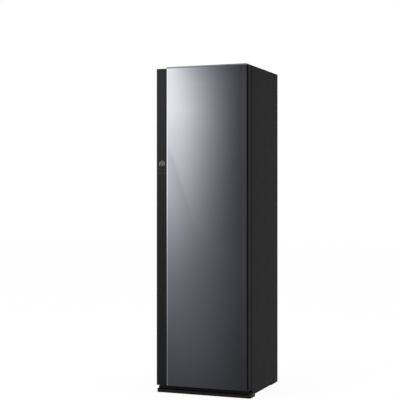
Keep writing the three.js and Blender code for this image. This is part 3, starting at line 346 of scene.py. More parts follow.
class Form:
    """A mesh under construction, empty or a clean copy of a CAD node's. Its steps can be chained."""

    def __init__(self, node=None):
        self.bm = bm = bmesh.new()
        if node:
            bm.from_mesh(nodes[node].data)
            bmesh.ops.remove_doubles(bm, verts=bm.verts, dist=MERGE)
            bmesh.ops.dissolve_limit(bm, angle_limit=FLAT, verts=bm.verts, edges=bm.edges)

    def rounded(self, edges, radius, segments=3):
        bmesh.ops.bevel(
            self.bm, geom=list(edges), offset=radius, segments=segments, profile=0.5, affect="EDGES",
            clamp_overlap=True,
        )
        return self

    def soften(self, radius, picked=None):
        """Rounds the sharp edges that a test picks."""
        sharp = [
            edge for edge in self.bm.edges
            if len(edge.link_faces) == 2 and edge.calc_face_angle(0) > SHARP and (picked is None or picked(edge))
        ]
        return self.rounded(sharp, radius)

    def slab(self, low, high, radius=0.0, segments=3):
        """A box between two corners, with its edges rounded."""
        low, high = Vector(low), Vector(high)
        size = high - low
        place = Matrix.Translation((low + high) / 2) @ Matrix.Diagonal((*size, 1))
        made = bmesh.ops.create_cube(self.bm, size=1, matrix=place)["verts"]
        if radius:
            edges = {edge for vertex in made for edge in vertex.link_edges}
            self.rounded(edges, min(radius, min(size) * 0.49), segments)
        return self

    def skin(self, outlines, closed=False):
        """Faces between outlines in turn, which end in caps or join up. An outline can be one point."""
        rings = [[self.bm.verts.new(point) for point in outline] for outline in outlines]
        for first, second in zip(rings, rings[1:] + rings[:1] if closed else rings[1:]):
            count = max(len(first), len(second))
            for k in range(count):
                turns = (first, k), (first, (k + 1) % count), (second, (k + 1) % count), (second, k)
                corners = [ring[at % len(ring)] for ring, at in turns]
                self.bm.faces.new(list(dict.fromkeys(corners)))
        return [] if closed else [self.bm.faces.new(ring) for ring in (rings[0], rings[-1]) if len(ring) > 2]

    def prism(self, outline, axis, low, high, radius=0.0, segments=3):
        """An outline in the plane across an axis, drawn out along it, with rounded rims."""
        caps = self.skin([[at_level(axis, a, b, level) for a, b in outline] for level in (low, high)])
        if radius:
            self.rounded({edge for face in caps for edge in face.edges}, radius, segments)
        return self

    def shell(self, levels):
        """Outlines of the same number of points, each at its height, joined up."""
        self.skin([[(a, b, rise) for a, b in outline] for outline, rise in levels])
        return self

    def turned(self, profile, centre, axis="z", sides=48):
        """A profile of radius and height turned about an axis. It starts and ends on the axis, or closes."""
        centre, outlines = Vector(centre), []
        for radius, height in profile:
            points = circle(radius, sides) if radius > MERGE else [(0, 0)]
            outlines.append([centre + at_level(axis, a, b, height) for a, b in points])
        self.skin(outlines, profile[0][0] > MERGE)
        return self

    def sweep(self, profile, path, closed=False, up=None, sizes=None):
        """A closed profile carried along a path. The profile lies across the path, as side and up."""
        count, previous, outlines = len(path), None, []
        for index, here in enumerate(path):
            before = path[index - 1] if closed or index else here
            after = path[(index + 1) % count] if closed or index < count - 1 else here
            tangent = (after - before).normalized()
            if previous is None:
                lift = up or (Z if abs(tangent.z) < 0.9 else X)
            else:
                lift = previous.rotation_difference(tangent) @ lift
            lift = (lift - tangent * lift.dot(tangent)).normalized()
            side, grow = tangent.cross(lift), sizes[index] if sizes else 1
            outlines.append([here + (side * a + lift * b) * grow for a, b in profile])
            previous = tangent
        self.skin(outlines, closed)
        return self

    def tube(self, radius, path, sides=12, closed=False):
        return self.sweep(circle(radius, sides), [Vector(point) for point in path], closed)

    def piece(self, name, smooth):
        bmesh.ops.recalc_face_normals(self.bm, faces=self.bm.faces)
        mesh = bpy.data.meshes.new(name)
        self.bm.to_mesh(mesh)
        self.bm.free()
        return shown(name, mesh, smooth)

    def settle(self, name, like, slot=None, finish=None, smooth=SMOOTH, replaced=()):
        settle(self.piece(name, smooth), like, slot, finish, replaced)

    def instead(self, name, node, smooth=SMOOTH, finish=None):
        """A piece that stands for one CAD node. Its flat faces stay flat beside their rounded edges."""
        piece = self.piece(name, smooth)
        piece.modifiers.new("even_flats", "WEIGHTED_NORMAL").keep_sharp = True
        settle(piece, node, finish=finish, replaced=(node,))


def softened(name, node, *passes, smooth=SMOOTH, finish=None):
    """A CAD node with rounded edges. A pass is a radius, or a radius and a test on the edges it is for."""
    form = Form(node)
    for each in passes:
        form.soften(*each) if isinstance(each, tuple) else form.soften(each)
    form.instead(name, node, smooth, finish)


# Geometry nodes for what repeats
def new_tree(name, sockets):
    tree = bpy.data.node_groups.new(name, "GeometryNodeTree")
    for label, kind in {"Geometry": "Geometry", **sockets}.items():
        tree.interface.new_socket(label, in_out="INPUT", socket_type="NodeSocket" + kind)
    tree.interface.new_socket("Geometry", in_out="OUTPUT", socket_type="NodeSocketGeometry")
    return tree, node_of(tree, "NodeGroupInput").outputs


def close_tree(tree, points, instance, **inputs):
    """Puts an instance on each point and keeps them as one mesh."""
    spots = wire(tree, "InstanceOnPoints", {"Points": points, "Instance": instance, **inputs})
    node_of(tree, "NodeGroupOutput", {0: wire(tree, "RealizeInstances", {0: spots})})
    return tree


def screw_tree():
    """A pan head with a cross recess on each point, turned to one aim. It is made at a radius of 1."""
    tree, given = new_tree("screw_heads", {"Radius": "Float", "Height": "Float", "Aim": "Vector"})
    height = maths("DIVIDE", given["Height"], given["Radius"])
    head = wire(tree, "MeshCone", {"Vertices": 20, "Radius Top": 0.74, "Radius Bottom": 1.0, "Depth": height})
    top = wire(tree, "ShaderNodeCombineXYZ", {"Z": height})
    cross = node_of(tree, "MeshBoolean", {"Mesh 1": head}, operation="DIFFERENCE")
    for width, length, share in ((1.13, 0.243, 1.13), (0.251, 1.09, 1.27)):
        size = wire(tree, "ShaderNodeCombineXYZ", {"X": width, "Y": length, "Z": times(height, share)})
        cube = wire(tree, "MeshCube", {"Size": size})
        moved = wire(tree, "Transform", {"Geometry": cube, "Translation": top})
        tree.links.new(moved, cross.inputs["Mesh 2"])
    whole = wire(tree, "MergeByDistance", {"Geometry": cross.outputs[0], "Distance": 0.0005})
    turn = wire(tree, "FunctionNodeAlignRotationToVector", {"Vector": given["Aim"]}, axis="Z")
    return close_tree(tree, given["Geometry"], whole, Rotation=turn, Scale=given["Radius"])


def row_tree(name, sockets, bar_of):
    """A row of equal bars. A function of the tree and its inputs makes the bar."""
    tree, given = new_tree(name, {"Count": "Int", "Start": "Vector", "Step": "Vector", **sockets})
    points = wire(tree, "MeshLine", {
        "Count": given["Count"], "Start Location": given["Start"], "Offset": given["Step"]})
    return close_tree(tree, points, bar_of(tree, given))


def round_bar(tree, given):
    """A straight bar with a round section, which can be flattened into a rib."""
    reach = wire(tree, "CurvePrimitiveLine", {"End": given["Reach"]})
    section = wire(tree, "CurvePrimitiveCircle", {"Resolution": given["Sides"], "Radius": given["Radius"]})
    bar = wire(tree, "CurveToMesh", {"Curve": reach, "Profile Curve": section, "Fill Caps": True})
    return wire(tree, "Transform", {"Geometry": bar, "Scale": given["Flatten"]})


screw_rule = screw_tree()
slat_rule = row_tree(
    "slat_row", {"Size": "Vector"}, lambda tree, given: wire(tree, "MeshCube", {"Size": given["Size"]}),
)
wire_rule = row_tree(
    "wire_row", {"Reach": "Vector", "Flatten": "Vector", "Radius": "Float", "Sides": "Int"}, round_bar,
)


def grown(rule, name, like, slot, values, mesh=None, smooth=SMOOTH, replaced=()):
    """Runs a rule once and settles the result as a plain piece."""
    host = linked(name + "_host", mesh or bpy.data.meshes.new(name + "_seed"))
    modifier = host.modifiers.new("rule", "NODES")
    modifier.node_group = rule
    for socket in rule.interface.items_tree:
        if socket.in_out == "INPUT" and socket.name in values:
            modifier[socket.identifier] = values[socket.name]
    depsgraph = bpy.context.evaluated_depsgraph_get()
    made = bpy.data.meshes.new_from_object(host.evaluated_get(depsgraph))
    bpy.data.objects.remove(host)
    made.name = name
    settle(shown(name, made, smooth), like, slot, replaced=replaced)


def screws(name, like, slot, places, aim, radius, height):
    """Screw heads on one body, which all face the same way."""
    mesh = bpy.data.meshes.new(name + "_spots")
    mesh.from_pydata([tuple(place) for place in places], [], [])
    grown(screw_rule, name, like, slot, {"Radius": radius, "Height": height, "Aim": tuple(aim)}, mesh, 20)


def wires(name, like, count, start, step, reach, radius, sides=8, flatten=(1, 1, 1), slot=None):
    grown(wire_rule, name, like, slot, {
        "Count": count, "Start": start, "Step": step, "Reach": reach, "Flatten": flatten,
        "Radius": radius, "Sides": sides,
    }, smooth=60)


for node, thing in nodes.items():
    thing.data.materials.clear()
    thing.data.materials.append(finishes[slot_of_node[node]])


# CAD nodes that get rounded edges, by two radii: one for their edges along Z, or 0, and one for all sharp edges
for (upright, radius), names in {
    (0, 0.0003): dict(blower_wheel="blower_fan"),
    (0, 0.0005): dict(
        kick_plate="toe_plate", hinge_cover_top="upper_hinge_cap", front_frame="mouth_frame", base_pan="base_tray",
    ),
    (0, 0.0006): dict(display_board="display_and_touch_board", crank="drive_crank", floor_grille="outlet_grille"),
    (0, 0.0008): dict(mirror_top_trim="door_top_trim", liner_floor="floor_lining", hanger_carriage="rail_carriage"),
    (0, 0.001): dict(liner_back="back_wall_lining", liner_ceiling="ceiling_lining", air_duct="air_duct_moulding"),
    (0, 0.0012): dict(
        press_plate="press_swing_plate", liner_left="left_wall_lining", liner_right="right_wall_lining",
        tank_bay="tank_bay_moulding", lint_filter="filter_frame", blower_housing="blower_volute",
    ),
    (0, 0.0014): dict(press_base="press_back_board"),
    (0, 0.0015): dict(drive_motor="drive_motor_can", water_pump="pump_body"),
    (0.002, 0.001): dict(control_box="control_case"),
    (0.0025, 0.0012): dict(supply_tank_lid="supply_tank_lid", drain_tank_lid="drain_tank_lid"),
    (0.004, 0.0012): dict(steam_generator="boiler_body"),
}.items():
    for node, name in names.items():
        softened(name, node, *([(upright, along(Z))] if upright else []), radius)


# Door front: the mirror, the strip with its symbols, near-black foam that paints the shade in the groove, and the tray
# behind them
strip_low, strip_high = box["control_glass"]
STRIP_SETBACK = 0.0001
SYMBOL_FACE, SYMBOL_DEPTH = strip_low.y + 0.00003, 0.00037
DIGIT_WIDTH, DIGIT_HEIGHT, DIGIT_BAR = 0.0095, 0.0138, 0.0026
DIGIT_BARS = {"a": (0, 1), "g": (0, 0), "d": (0, -1), "b": (1, 0.5), "c": (1, -0.5), "f": (-1, 0.5), "e": (-1, -0.5)}


class Marks(Form):
    """Flat symbols on the control strip. Their places are x and z."""

    def bar(self, x, z, width, height):
        low = (x - width / 2, SYMBOL_FACE, z - height / 2)
        return self.slab(low, (x + width / 2, SYMBOL_FACE + SYMBOL_DEPTH, z + height / 2))

    def line(self, points, thickness, closed=False):
        path = [Vector((x, SYMBOL_FACE + SYMBOL_DEPTH / 2, z)) for x, z in points]
        return self.sweep(oblong(thickness / 2, SYMBOL_DEPTH / 2), path, closed, Y)

    def digit(self, lit, x, z):
        """A seven-bar digit round a middle, from the letters of its lit bars."""
        for key in lit:
            side, rise = DIGIT_BARS[key]
            upright, flat = (DIGIT_BAR, DIGIT_HEIGHT / 2 - DIGIT_BAR * 1.3), (DIGIT_WIDTH - DIGIT_BAR * 1.6, DIGIT_BAR)
            place = (x + side * (DIGIT_WIDTH - DIGIT_BAR) / 2, z + rise * (DIGIT_HEIGHT - DIGIT_BAR) / 2)
            self.bar(*place, *(upright if side else flat))


def strip_symbols():
    """A clothes hanger over the time left, and below them two rows of touch keys."""
    bright, dim = Marks(), Marks()
    middle, top, digit_level = -0.2512, 1.3988, 1.3788
    shoulders = ((-0.018, 0.0095), (-0.0155, 0.0075), (0, 0.0013), (0.0155, 0.0075), (0.018, 0.0095))
    bright.line([(middle + shift, top - drop) for shift, drop in shoulders], 0.0024)
    bright.bar(middle, top - 0.0105, 0.0385, 0.0024)
    bright.line(arc(middle, top + 0.0022, 0.0022, -90, 150, 12), 0.0014)
    for lit, shift in (("abged", -0.0145), ("abcdef", 0.0015), ("afgcd", 0.0145)):
        bright.digit(lit, middle + shift, digit_level)
    for rise in (0.0033, -0.0033):
        bright.bar(middle - 0.0065, digit_level + rise, 0.0022, 0.0022)

    left, right, upper, lower = middle - 0.0125, middle + 0.0145, 1.3508, 1.3268
    dim.line(arc(left, upper, 0.0042, 125, 415, 20), 0.0012)
    dim.bar(left, upper + 0.004, 0.0012, 0.0042)
    arrow = ((-0.0035, 0.0038), (0.0035, 0), (-0.0035, -0.0038))
    dim.line([(right + shift, upper + rise) for shift, rise in arrow], 0.0012, True)
    for rise in (0.0035, 0.0, -0.0035):
        waves = [(left - 0.005 + 0.0025 * k, lower + rise + (0.0007 if k % 2 else -0.0007)) for k in range(5)]
        dim.line(waves, 0.001)
    dim.line(arc(right, lower, 0.0042, 0, 360, 20)[:-1], 0.0012, True)
    for hand in ((right, lower + 0.0028), (right + 0.0022, lower)):
        dim.line([(right, lower), hand], 0.001)
    bright.settle("strip_display", "control_glass", "lamp_diffuser", "symbol_light")
    dim.settle("strip_touch_keys", "control_glass", "lamp_diffuser", "symbol_dim")


def mirror():
    """The glass with its two bevels, the painted edges that carry no silver, and the joint below the trim."""
    low, high = box["mirror_glass"]
    bevel, depth, edge, joint = 0.007, 0.002, 0.0004, 0.0006
    left, right = low.x + edge, high.x - edge
    outline = [
        (left, high.y), (left, low.y + depth), (low.x + bevel, low.y),
        (high.x - bevel, low.y), (right, low.y + depth), (right, high.y),
    ]
    glass = Form().prism(outline, "z", low.z, high.z - joint)
    glass.settle("mirror_bevelled_glass", "mirror_glass", smooth=10, replaced=("mirror_glass",))
    edges = Form()
    for start, end in ((low.x, left), (right, high.x)):
        edges.slab((start, low.y + depth, low.z), (end, high.y, high.z))
    edges.settle("mirror_painted_edges", "mirror_glass", "black_glass", "edge_paint")
    Form().slab(
        (left, low.y + 0.0001, high.z - joint + 0.00005), (right, low.y + 0.003, high.z + 0.00025),
    ).settle("mirror_top_joint", "mirror_glass", "grey_rubber", "seal_and_painted_shade")


def door_front():
    """The strip, near-black foam in the groove behind the rim of the glass, which is painted shade for the recess, and
    the tray.
    """
    face = (strip_low.x, strip_low.y + STRIP_SETBACK, strip_low.z)
    Form().slab(face, strip_high, 0.0007).instead("control_strip", "control_glass")
    carrier, tray = box["door_carrier"], box["door_frame"]
    # Painted shade: near-black foam fills the groove between the glass rim and the tray, where the recess falls into
    # shadow.
    shade_seals = Form()
    for start, end in (
        (carrier[1].x + LIFT, tray[1].x - 0.0008), (tray[0].x + 0.0008, carrier[0].x - LIFT),
    ):
        shade_seals.slab((start, carrier[0].y + LIFT, tray[0].z + 0.008), (end, carrier[1].y, tray[1].z - 0.008), 0.001)
    shade_seals.settle("door_groove_foam_painted_shade", "door_carrier", "grey_rubber", "seal_and_painted_shade")
    outer = lambda m: near(abs(m.x), tray[1].x) and near(m.y, tray[0].y)
    softened("door_tray", "door_frame", (0.0024, along(Z, outer)))
    softened("door_edge_carrier", "door_carrier", (0.0015, along(Z)), (0.0008, along(X)))


# Door back: gasket, lining and trouser press
def door_gasket():
    """A soft ring with a magnet bulb and a fold beside it."""
    low, high, middle = extent("door_gasket")
    inset, depth = 0.005, (high.y - low.y) / 2
    right = [(0.005, -depth), (0.005, -depth * 0.55), (0.0033, -depth * 0.3), (0.0048, 0), (0.0048, depth * 0.6),
             (0.0036, depth)]
    profile = right + [(-a, b) for a, b in reversed(right)]
    path = round_path((low.x + inset, high.x - inset), (low.z + inset, high.z - inset), 0.008, middle.y)
    Form().sweep(profile, path, True, Y).instead("magnetic_gasket", "door_gasket", 50)


def door_lining():
    softened("door_lining", "door_liner", 0.001, smooth=40)
    low, high = box["door_liner"]
    for name, z in (("lining_bead_upper", (1.505, 1.905)), ("lining_bead_lower", (0.45, 0.69))):
        path = round_path((low.x + 0.05, high.x - 0.05), z, 0.03, high.y)
        Form().sweep(half_round(0.006, 0.0018), path, True, Y).settle(name, "door_liner")
    # Painted shade: near-black strips round the lining's rim stand for the dark gap seen between the door tray and the
    # casing.
    trim = Form()
    front, back, seat, lip = box["door_frame"][1].y - 0.001, high.y - LIFT, 0.0004, 0.0006
    for start, end in ((low.x - lip, low.x + seat), (high.x - seat, high.x + lip)):
        trim.slab((start, front, low.z), (end, back, high.z), 0.0003, 2)
    for start, end in ((low.z - lip, low.z + seat), (high.z - seat, high.z + lip)):
        trim.slab((low.x, front, start), (high.x, back, end), 0.0003, 2)
    trim.settle("lining_edge_painted_shade_trim", "door_liner", "grey_rubber", "seal_and_painted_shade")


def trouser_press():
    low, high = box["press_base"]
    places = [(low.x + 0.007, high.y, z) for z in (low.z + 0.008, high.z - 0.008)]
    screws("press_hinge_screws", "press_base", "chrome_steel", places, Y, 0.0032, 0.0014)
    low, high, middle = extent("press_plate")
    start = (high.x - 0.016, high.y - 0.001, middle.z - 0.045)
    pull = Form().slab(start, (high.x - 0.004, high.y + 0.004, middle.z + 0.045), 0.002)
    pull.settle("press_pull", "press_plate", "chrome_steel")


mirror()
strip_symbols()
door_front()
door_gasket()
door_lining()
trouser_press()


# Casing
def floor_bar():
    """The bar below the cabinet, with round front corners and a sloping upper edge."""
    low, high = box["base_bar"]
    corner, slope, lower_edge = 0.012, 0.003, 0.0015
    left, right, front = low.x + corner, high.x - corner, low.y + corner

    def plan(inset):
        turn = corner - inset
        corners = arc(left, front, turn, 180, 270, 8) + arc(right, front, turn, 270, 360, 8)
        return [(high.x, high.y), (low.x, high.y)] + corners

    Form().shell([
        (plan(lower_edge), low.z), (plan(0), low.z + lower_edge), (plan(0), high.z - slope),
        (plan(slope * 0.4), high.z - slope * 0.35), (plan(slope), high.z),
    ]).instead("floor_bar", "base_bar", 40)


def lower_edges():
    """A near-black bead in the toe joint, painted shadow for the gap there, and under each side sheet a near-black
    rubber strip on its lower edge, a painted shadow line, and a glide at the rear corner.
    """
    plate, bar = box["kick_plate"], box["base_bar"]
    # Painted shadow: a near-black bead under the toe plate stands for the shadow gap above the bar.
    front = bar[0].y - 0.0016
    start = (plate[0].x + 0.001, front, bar[1].z - 0.0028)
    bead = Form().slab(start, (plate[1].x - 0.001, front + 0.003, plate[0].z + 0.003), 0.0008)
    bead.settle("toe_joint_painted_shadow_bead", "base_bar", "grey_rubber", "seal_and_painted_shade")
    low, high = box["side_panel_right"]
    # Painted shadow: near-black strips along the lower edges of the side sheets draw the shadow line there.
    profile = [
        (0.0004, 0.0046), (0.0004, -0.0019), (-0.0001, -0.0024), (-0.0028, -0.0024),
        (-0.0028, -LIFT), (LIFT, -LIFT), (LIFT, 0.0046),
    ]
    shadow_edging, glides, glide_front = Form(), Form(), high.y - 0.128
    for side in (-1, 1):
        outline = [(side * (high.x + a), low.z + b) for a, b in profile]
        shadow_edging.prism(outline, "y", low.y + 0.001, glide_front - LIFT)
        inner, outer = sorted((side * (high.x - 0.022), side * (high.x - LIFT)))
        glides.slab((inner, glide_front, low.z - 0.006), (outer, high.y - 0.001, low.z - LIFT), 0.0014)
    shadow_edging.settle("side_sheet_painted_shadow_edging", "side_panel_right", "grey_rubber", "seal_and_painted_shade")
    glides.settle("rear_corner_glides", "side_panel_right", "black_plastic")
    corner = lambda m: near(abs(m.x), high.x) and near(m.y, high.y)
    for side in ("left", "right"):
        softened(side + "_side_sheet", "side_panel_" + side, (0.0014, along(Z, corner)))


def top_sheet():
    """The top of the casing: a rim, a raised field and a flange that points down."""
    low, high = box["top_cover"]
    rim, sheet = high.z - 0.0012, 0.0008
    form = Form().slab((low.x, low.y, rim - sheet), (high.x, high.y, rim), 0.0003)
    field, inner = inset_plan(low, high, 0.03, 0.03), inset_plan(low, high, 0.033, 0.027)
    form.shell([(field, rim - 0.0004), (field, rim + 0.0002), (inner, high.z)])
    front = box["front_frame"][1].y + 0.0003
    for start, end in (
        ((low.x, front), (high.x, front + sheet)), ((low.x, high.y - sheet), (high.x, high.y)),
        ((low.x, front), (low.x + sheet, high.y)), ((high.x - sheet, front), (high.x, high.y)),
    ):
        form.slab((*start, low.z), (*end, rim - 0.0004), 0.0002)
    form.instead("top_sheet", "top_cover")
    places = [(x, y, rim) for x in (low.x + 0.016, high.x - 0.016) for y in (-0.12, 0.05, 0.25)]
    screws("top_sheet_screws", "top_cover", "black_plastic", places, Z, 0.004, 0.0009)


VENT_LOW, VENT_PITCH, VENT_COUNT, VENT_HALF = 0.120, 0.016, 12, 0.150
LOUVRE_RADIUS = 0.0024
BEAD_RISE = 0.0013


def rear_sheet():
    """The rear cover: a screwed rim, a raised middle with two beads, and louvres over the vents."""
    low, high = box["rear_cover"]
    form = Form("rear_cover")
    for vertex in form.bm.verts:
        if vertex.co.y > low.y + 0.0015:
            vertex.co.y -= BEAD_RISE
    face = high.y - BEAD_RISE
    side, bottom, top = abs(low.x) - 0.035, low.z + 0.085, high.z - 0.065

    def border(middle):
        at_side = abs(abs(middle.x) - side) < 0.001
        at_end = min(abs(middle.z - bottom), abs(middle.z - top)) < 0.001
        return abs(middle.y - face) < 0.0001 and (at_side or at_end)

    form.soften(0.001, along(None, border)).instead("rear_sheet", "rear_cover")
    for name, z in (("rear_bead_lower", (0.44, 1.12)), ("rear_bead_upper", (1.18, 1.86))):
        path = round_path((-0.205, 0.205), z, 0.04, face, steps=8)
        Form().sweep(half_round(0.0045, BEAD_RISE), path, True, Y).settle(name, "rear_cover")
    wires(
        "vent_louvres", "rear_cover", VENT_COUNT, (-VENT_HALF, face, VENT_LOW + 0.0072),
        (0, 0, VENT_PITCH), (2 * VENT_HALF, 0, 0), LOUVRE_RADIUS, 10, (1, BEAD_RISE / LOUVRE_RADIUS, 1),
    )
    rim, screw_x, first, last = low.y + 0.0008, 0.272, low.z + 0.03, high.z - 0.03
    places = [(x, rim, first + k * (last - first) / 6) for x in (-screw_x, screw_x) for k in range(7)]
    places += [(x, rim, z) for x in (-0.14, 0, 0.14) for z in (first, last)]
    screws("rear_sheet_screws", "rear_cover", "galvanised_steel", places, Y, 0.0045, 0.0018)
    plate = outline_of((-0.06, 0.06), (0.335, 0.395), 0.006)
    Form().prism(plate, "y", face - 0.0003, face + 0.0005, 0.0002, 2).settle(
        "blank_data_plate", "rear_cover", "fin_aluminium",
    )


def feet_and_gland():
    for side in ("left", "right"):
        low, high, middle = extent("foot_rear_" + side)
        Form().turned([
            (0, 0), (0.020, 0), (0.022, 0.002), (0.022, 0.0055), (0.0195, 0.0078), (0.0135, 0.0084),
            (0.0135, 0.0118), (0.008, 0.0122), (0.008, high.z), (0, high.z),
        ], (middle.x, middle.y, 0), sides=36).instead(side + "_rear_foot", "foot_rear_" + side)
    low, high, middle = extent("mains_gland")
    bore, front, back = 0.0045, low.y, high.y
    Form().turned([
        (bore, front), (0.0105, front), (0.012, front + 0.0015), (0.012, front + 0.007), (0.016, front + 0.0072),
        (0.016, front + 0.0108), (0.012, front + 0.0109), (0.012, back - 0.001), (0.011, back), (bore, back),
    ], (middle.x, 0, middle.z), "y", 36).instead("cord_gland", "mains_gland")


def hinges_and_mouth():
    _, high, middle = extent("hinge_bracket_bottom")
    ears_before, frame_screw_x, first_screw, screw_pitch = -0.26, 0.2755, 0.26, 0.405
    for name, end, rise in (("lower", "bottom", 0.019), ("upper", "top", 0.009)):
        bracket = "hinge_bracket_" + end
        ears = along(Z, lambda m: m.y < ears_before)
        softened(name + "_hinge_bracket", bracket, (0.004, ears), 0.0006, finish="blackened_steel")
        softened(name + "_hinge_pin", "hinge_pin_" + end, 0.0006, finish="blackened_steel")
        places = [(middle.x + shift, high.y - 0.003, box[bracket][0].z + rise) for shift in (-0.007, 0.007)]
        screws(name + "_hinge_screws", bracket, "hinge_steel", places, -Y, 0.0045, 0.0014)
    front, levels = box["front_frame"][0].y, [first_screw + k * screw_pitch for k in range(5)]
    places = [(x, front, z) for x in (-frame_screw_x, frame_screw_x) for z in levels]
    screws("mouth_frame_screws", "front_frame", "hinge_steel", places, -Y, 0.0036, 0.0012)


floor_bar()
lower_edges()
top_sheet()
rear_sheet()
feet_and_gland()
hinges_and_mouth()


# Chamber: ribs of the lining, lamp, shelf, hangers and their drive
RIB_COUNT, RIB_LEVEL, RIB_HALF, RIB_FLAT = 9, 0.66, 0.006, 0.2


def chamber_ribs():
    left, right = box["liner_left"][0].x + 0.003, box["liner_right"][1].x - 0.003
    for side, x in (("left", left), ("right", right)):
        wires(
            side + "_wall_ribs", "liner_" + side, RIB_COUNT, (x, -0.145, RIB_LEVEL),
            (0, 0.048, 0), (0, 0, 1.16), RIB_HALF, 12, (RIB_FLAT, 1, 1),
        )
    wires(
        "back_wall_ribs", "liner_back", RIB_COUNT, (-0.2, box["liner_back"][0].y, RIB_LEVEL),
        (0.05, 0, 0), (0, 0, 0.92), RIB_HALF, 12, (1, RIB_FLAT, 1),
    )


def lamp_cover():
    low, high = box["chamber_lamp"]
    rim = inset_plan(low, high, 0.005, 0.008)
    Form().shell([
        (inset_plan(low, high, 0.008, 0.005), low.z), (inset_plan(low, high, 0.0058, 0.0072), low.z + 0.0009),
        (rim, low.z + 0.003), (rim, high.z),
    ]).instead("opal_lamp_cover", "chamber_lamp")
    wires(
        "lamp_cover_flutes", "chamber_lamp", 20, (low.x + 0.0145, low.y + 0.009, low.z + 0.0001),
        (0.0085, 0, 0), (0, high.y - low.y - 0.018, 0), 0.0014, 8, (1, 1, 0.3),
    )
    path = round_path((low.x, high.x), (low.y, high.y), 0.011, high.z - 0.002, "z")
    half, flat, foot, shoulder, top = 0.0045, 0.003, -0.0018, 0.0006, 0.0018
    profile = [(-half, foot), (half, foot), (half, shoulder), (flat, top), (-flat, top), (-half, shoulder)]
    Form().sweep(profile, path, True, -Z).settle("lamp_bezel", "chamber_lamp", "liner_plastic")


def wire_shelf():
    """A frame bent from one rod, with thin wires and two stays welded across."""
    low, high, middle = extent("shelf")
    rod, stay_level, count = 0.0035, middle.z - 0.0013, 27
    x, y = (low.x + rod, high.x - rod), (low.y + rod, high.y - rod)
    form = Form().tube(rod, round_path(x, y, 0.02, middle.z, "z", 8), 14, True)
    for share in (0.25, 0.75):
        place = y[0] + (y[1] - y[0]) * share
        form.tube(0.002, [(x[0], place, stay_level), (x[1], place, stay_level)], 10)
    form.settle("shelf_frame", "shelf", smooth=60, replaced=("shelf",))
    pitch = (x[1] - x[0]) / (count + 1)
    wires(
        "shelf_wires", "shelf", count, (x[0] + pitch, y[0], middle.z), (pitch, 0, 0), (0, y[1] - y[0], 0), 0.0015,
    )


def clothes_hanger(side):
    """A moulded hanger with curved shoulders, soft grips on them, and a hook open at the front."""
    node, name = "hanger_" + side, "hanger_on_" + side
    low, high, middle = extent(node)
    centre = Vector((middle.x, middle.y, high.z - 0.0144))
    half, hook, arm_level, drop = 0.007, 0.0119, -0.0619, 0.078
    reach = (high.y - low.y) / 2 - 0.004

    def shoulder(t, lift=0.0):
        fall = drop * (0.12 * t * t + 0.88 * abs(t) ** 1.12)
        return centre + Vector((0, reach * t, arm_level - fall + lift))

    steps = [k / 20 for k in range(-20, 21)]
    sizes = [1 - 0.38 * max(0, (abs(t) - 0.86) / 0.14) ** 2 for t in steps]
    neck = [centre + Z * level for level in (-0.0105, -0.016, -0.03, -0.044, -0.056)]
    arch = [centre + Vector((0, a, b)) for a, b in arc(0, 0, hook, 180, -90, 30)]
    form = Form().sweep(oval(0.0112, half), [shoulder(t) for t in steps], up=X, sizes=sizes)
    form.sweep(oval(0.0075, half, power=0.5), neck, up=X, sizes=[0.92, 0.95, 0.86, 0.95, 1.0])
    form.sweep(oval(0.0024, half, 14, 0.5), arch, up=X, sizes=[0.8, 0.95] + [1] * 29)
    form.instead(name, node, 50)
    grips = Form()
    for way in (-1, 1):
        grip = [shoulder(way * (0.5 + 0.035 * k), 0.0004) for k in range(10)]
        grips.sweep(oval(0.0116, half + 0.0004), grip, up=X, sizes=[0.94] + [1] * 8 + [0.94])
    grips.settle(name + "_grips", node, "grey_rubber", smooth=50)


def hanger_drive():
    low, high = box["drive_housing"]
    corner = lambda m: abs(m.x) > high.x - 0.0005 and min(m.y - low.y, high.y - m.y) < 0.0005
    softened("drive_cover", "drive_housing", (0.006, along(Z, corner)), 0.0012)
    wires(
        "drive_cover_ribs", "drive_housing", 33, (-0.16, low.y, low.z + 0.016),
        (0.01, 0, 0), (0, 0, 0.03), 0.002, 10, (1, 0.45, 1),
    )
    _, high, middle = extent("hanger_rail")
    end, radius, groove = high.x, 0.009, 0.0006
    profile = [(0, -end), (0.0062, -end), (0.0084, -end + 0.001), (radius, -end + 0.0032)]
    for stop in (-0.098, -0.072, 0.072, 0.098):
        profile += [(radius, stop - 0.0022), (radius - groove, stop - 0.0012),
                    (radius - groove, stop + 0.0012), (radius, stop + 0.0022)]
    profile += [(radius, end - 0.0032), (0.0084, end - 0.001), (0.0062, end), (0, end)]
    Form().turned(profile, (0, middle.y, middle.z), "x", 32).instead("clothes_rail", "hanger_rail")


chamber_ribs()
lamp_cover()
wire_shelf()
clothes_hanger("left")
clothes_hanger("right")
hanger_drive()


# Water: tanks, boiler, nozzle and pump
LEVEL_LINES = 6


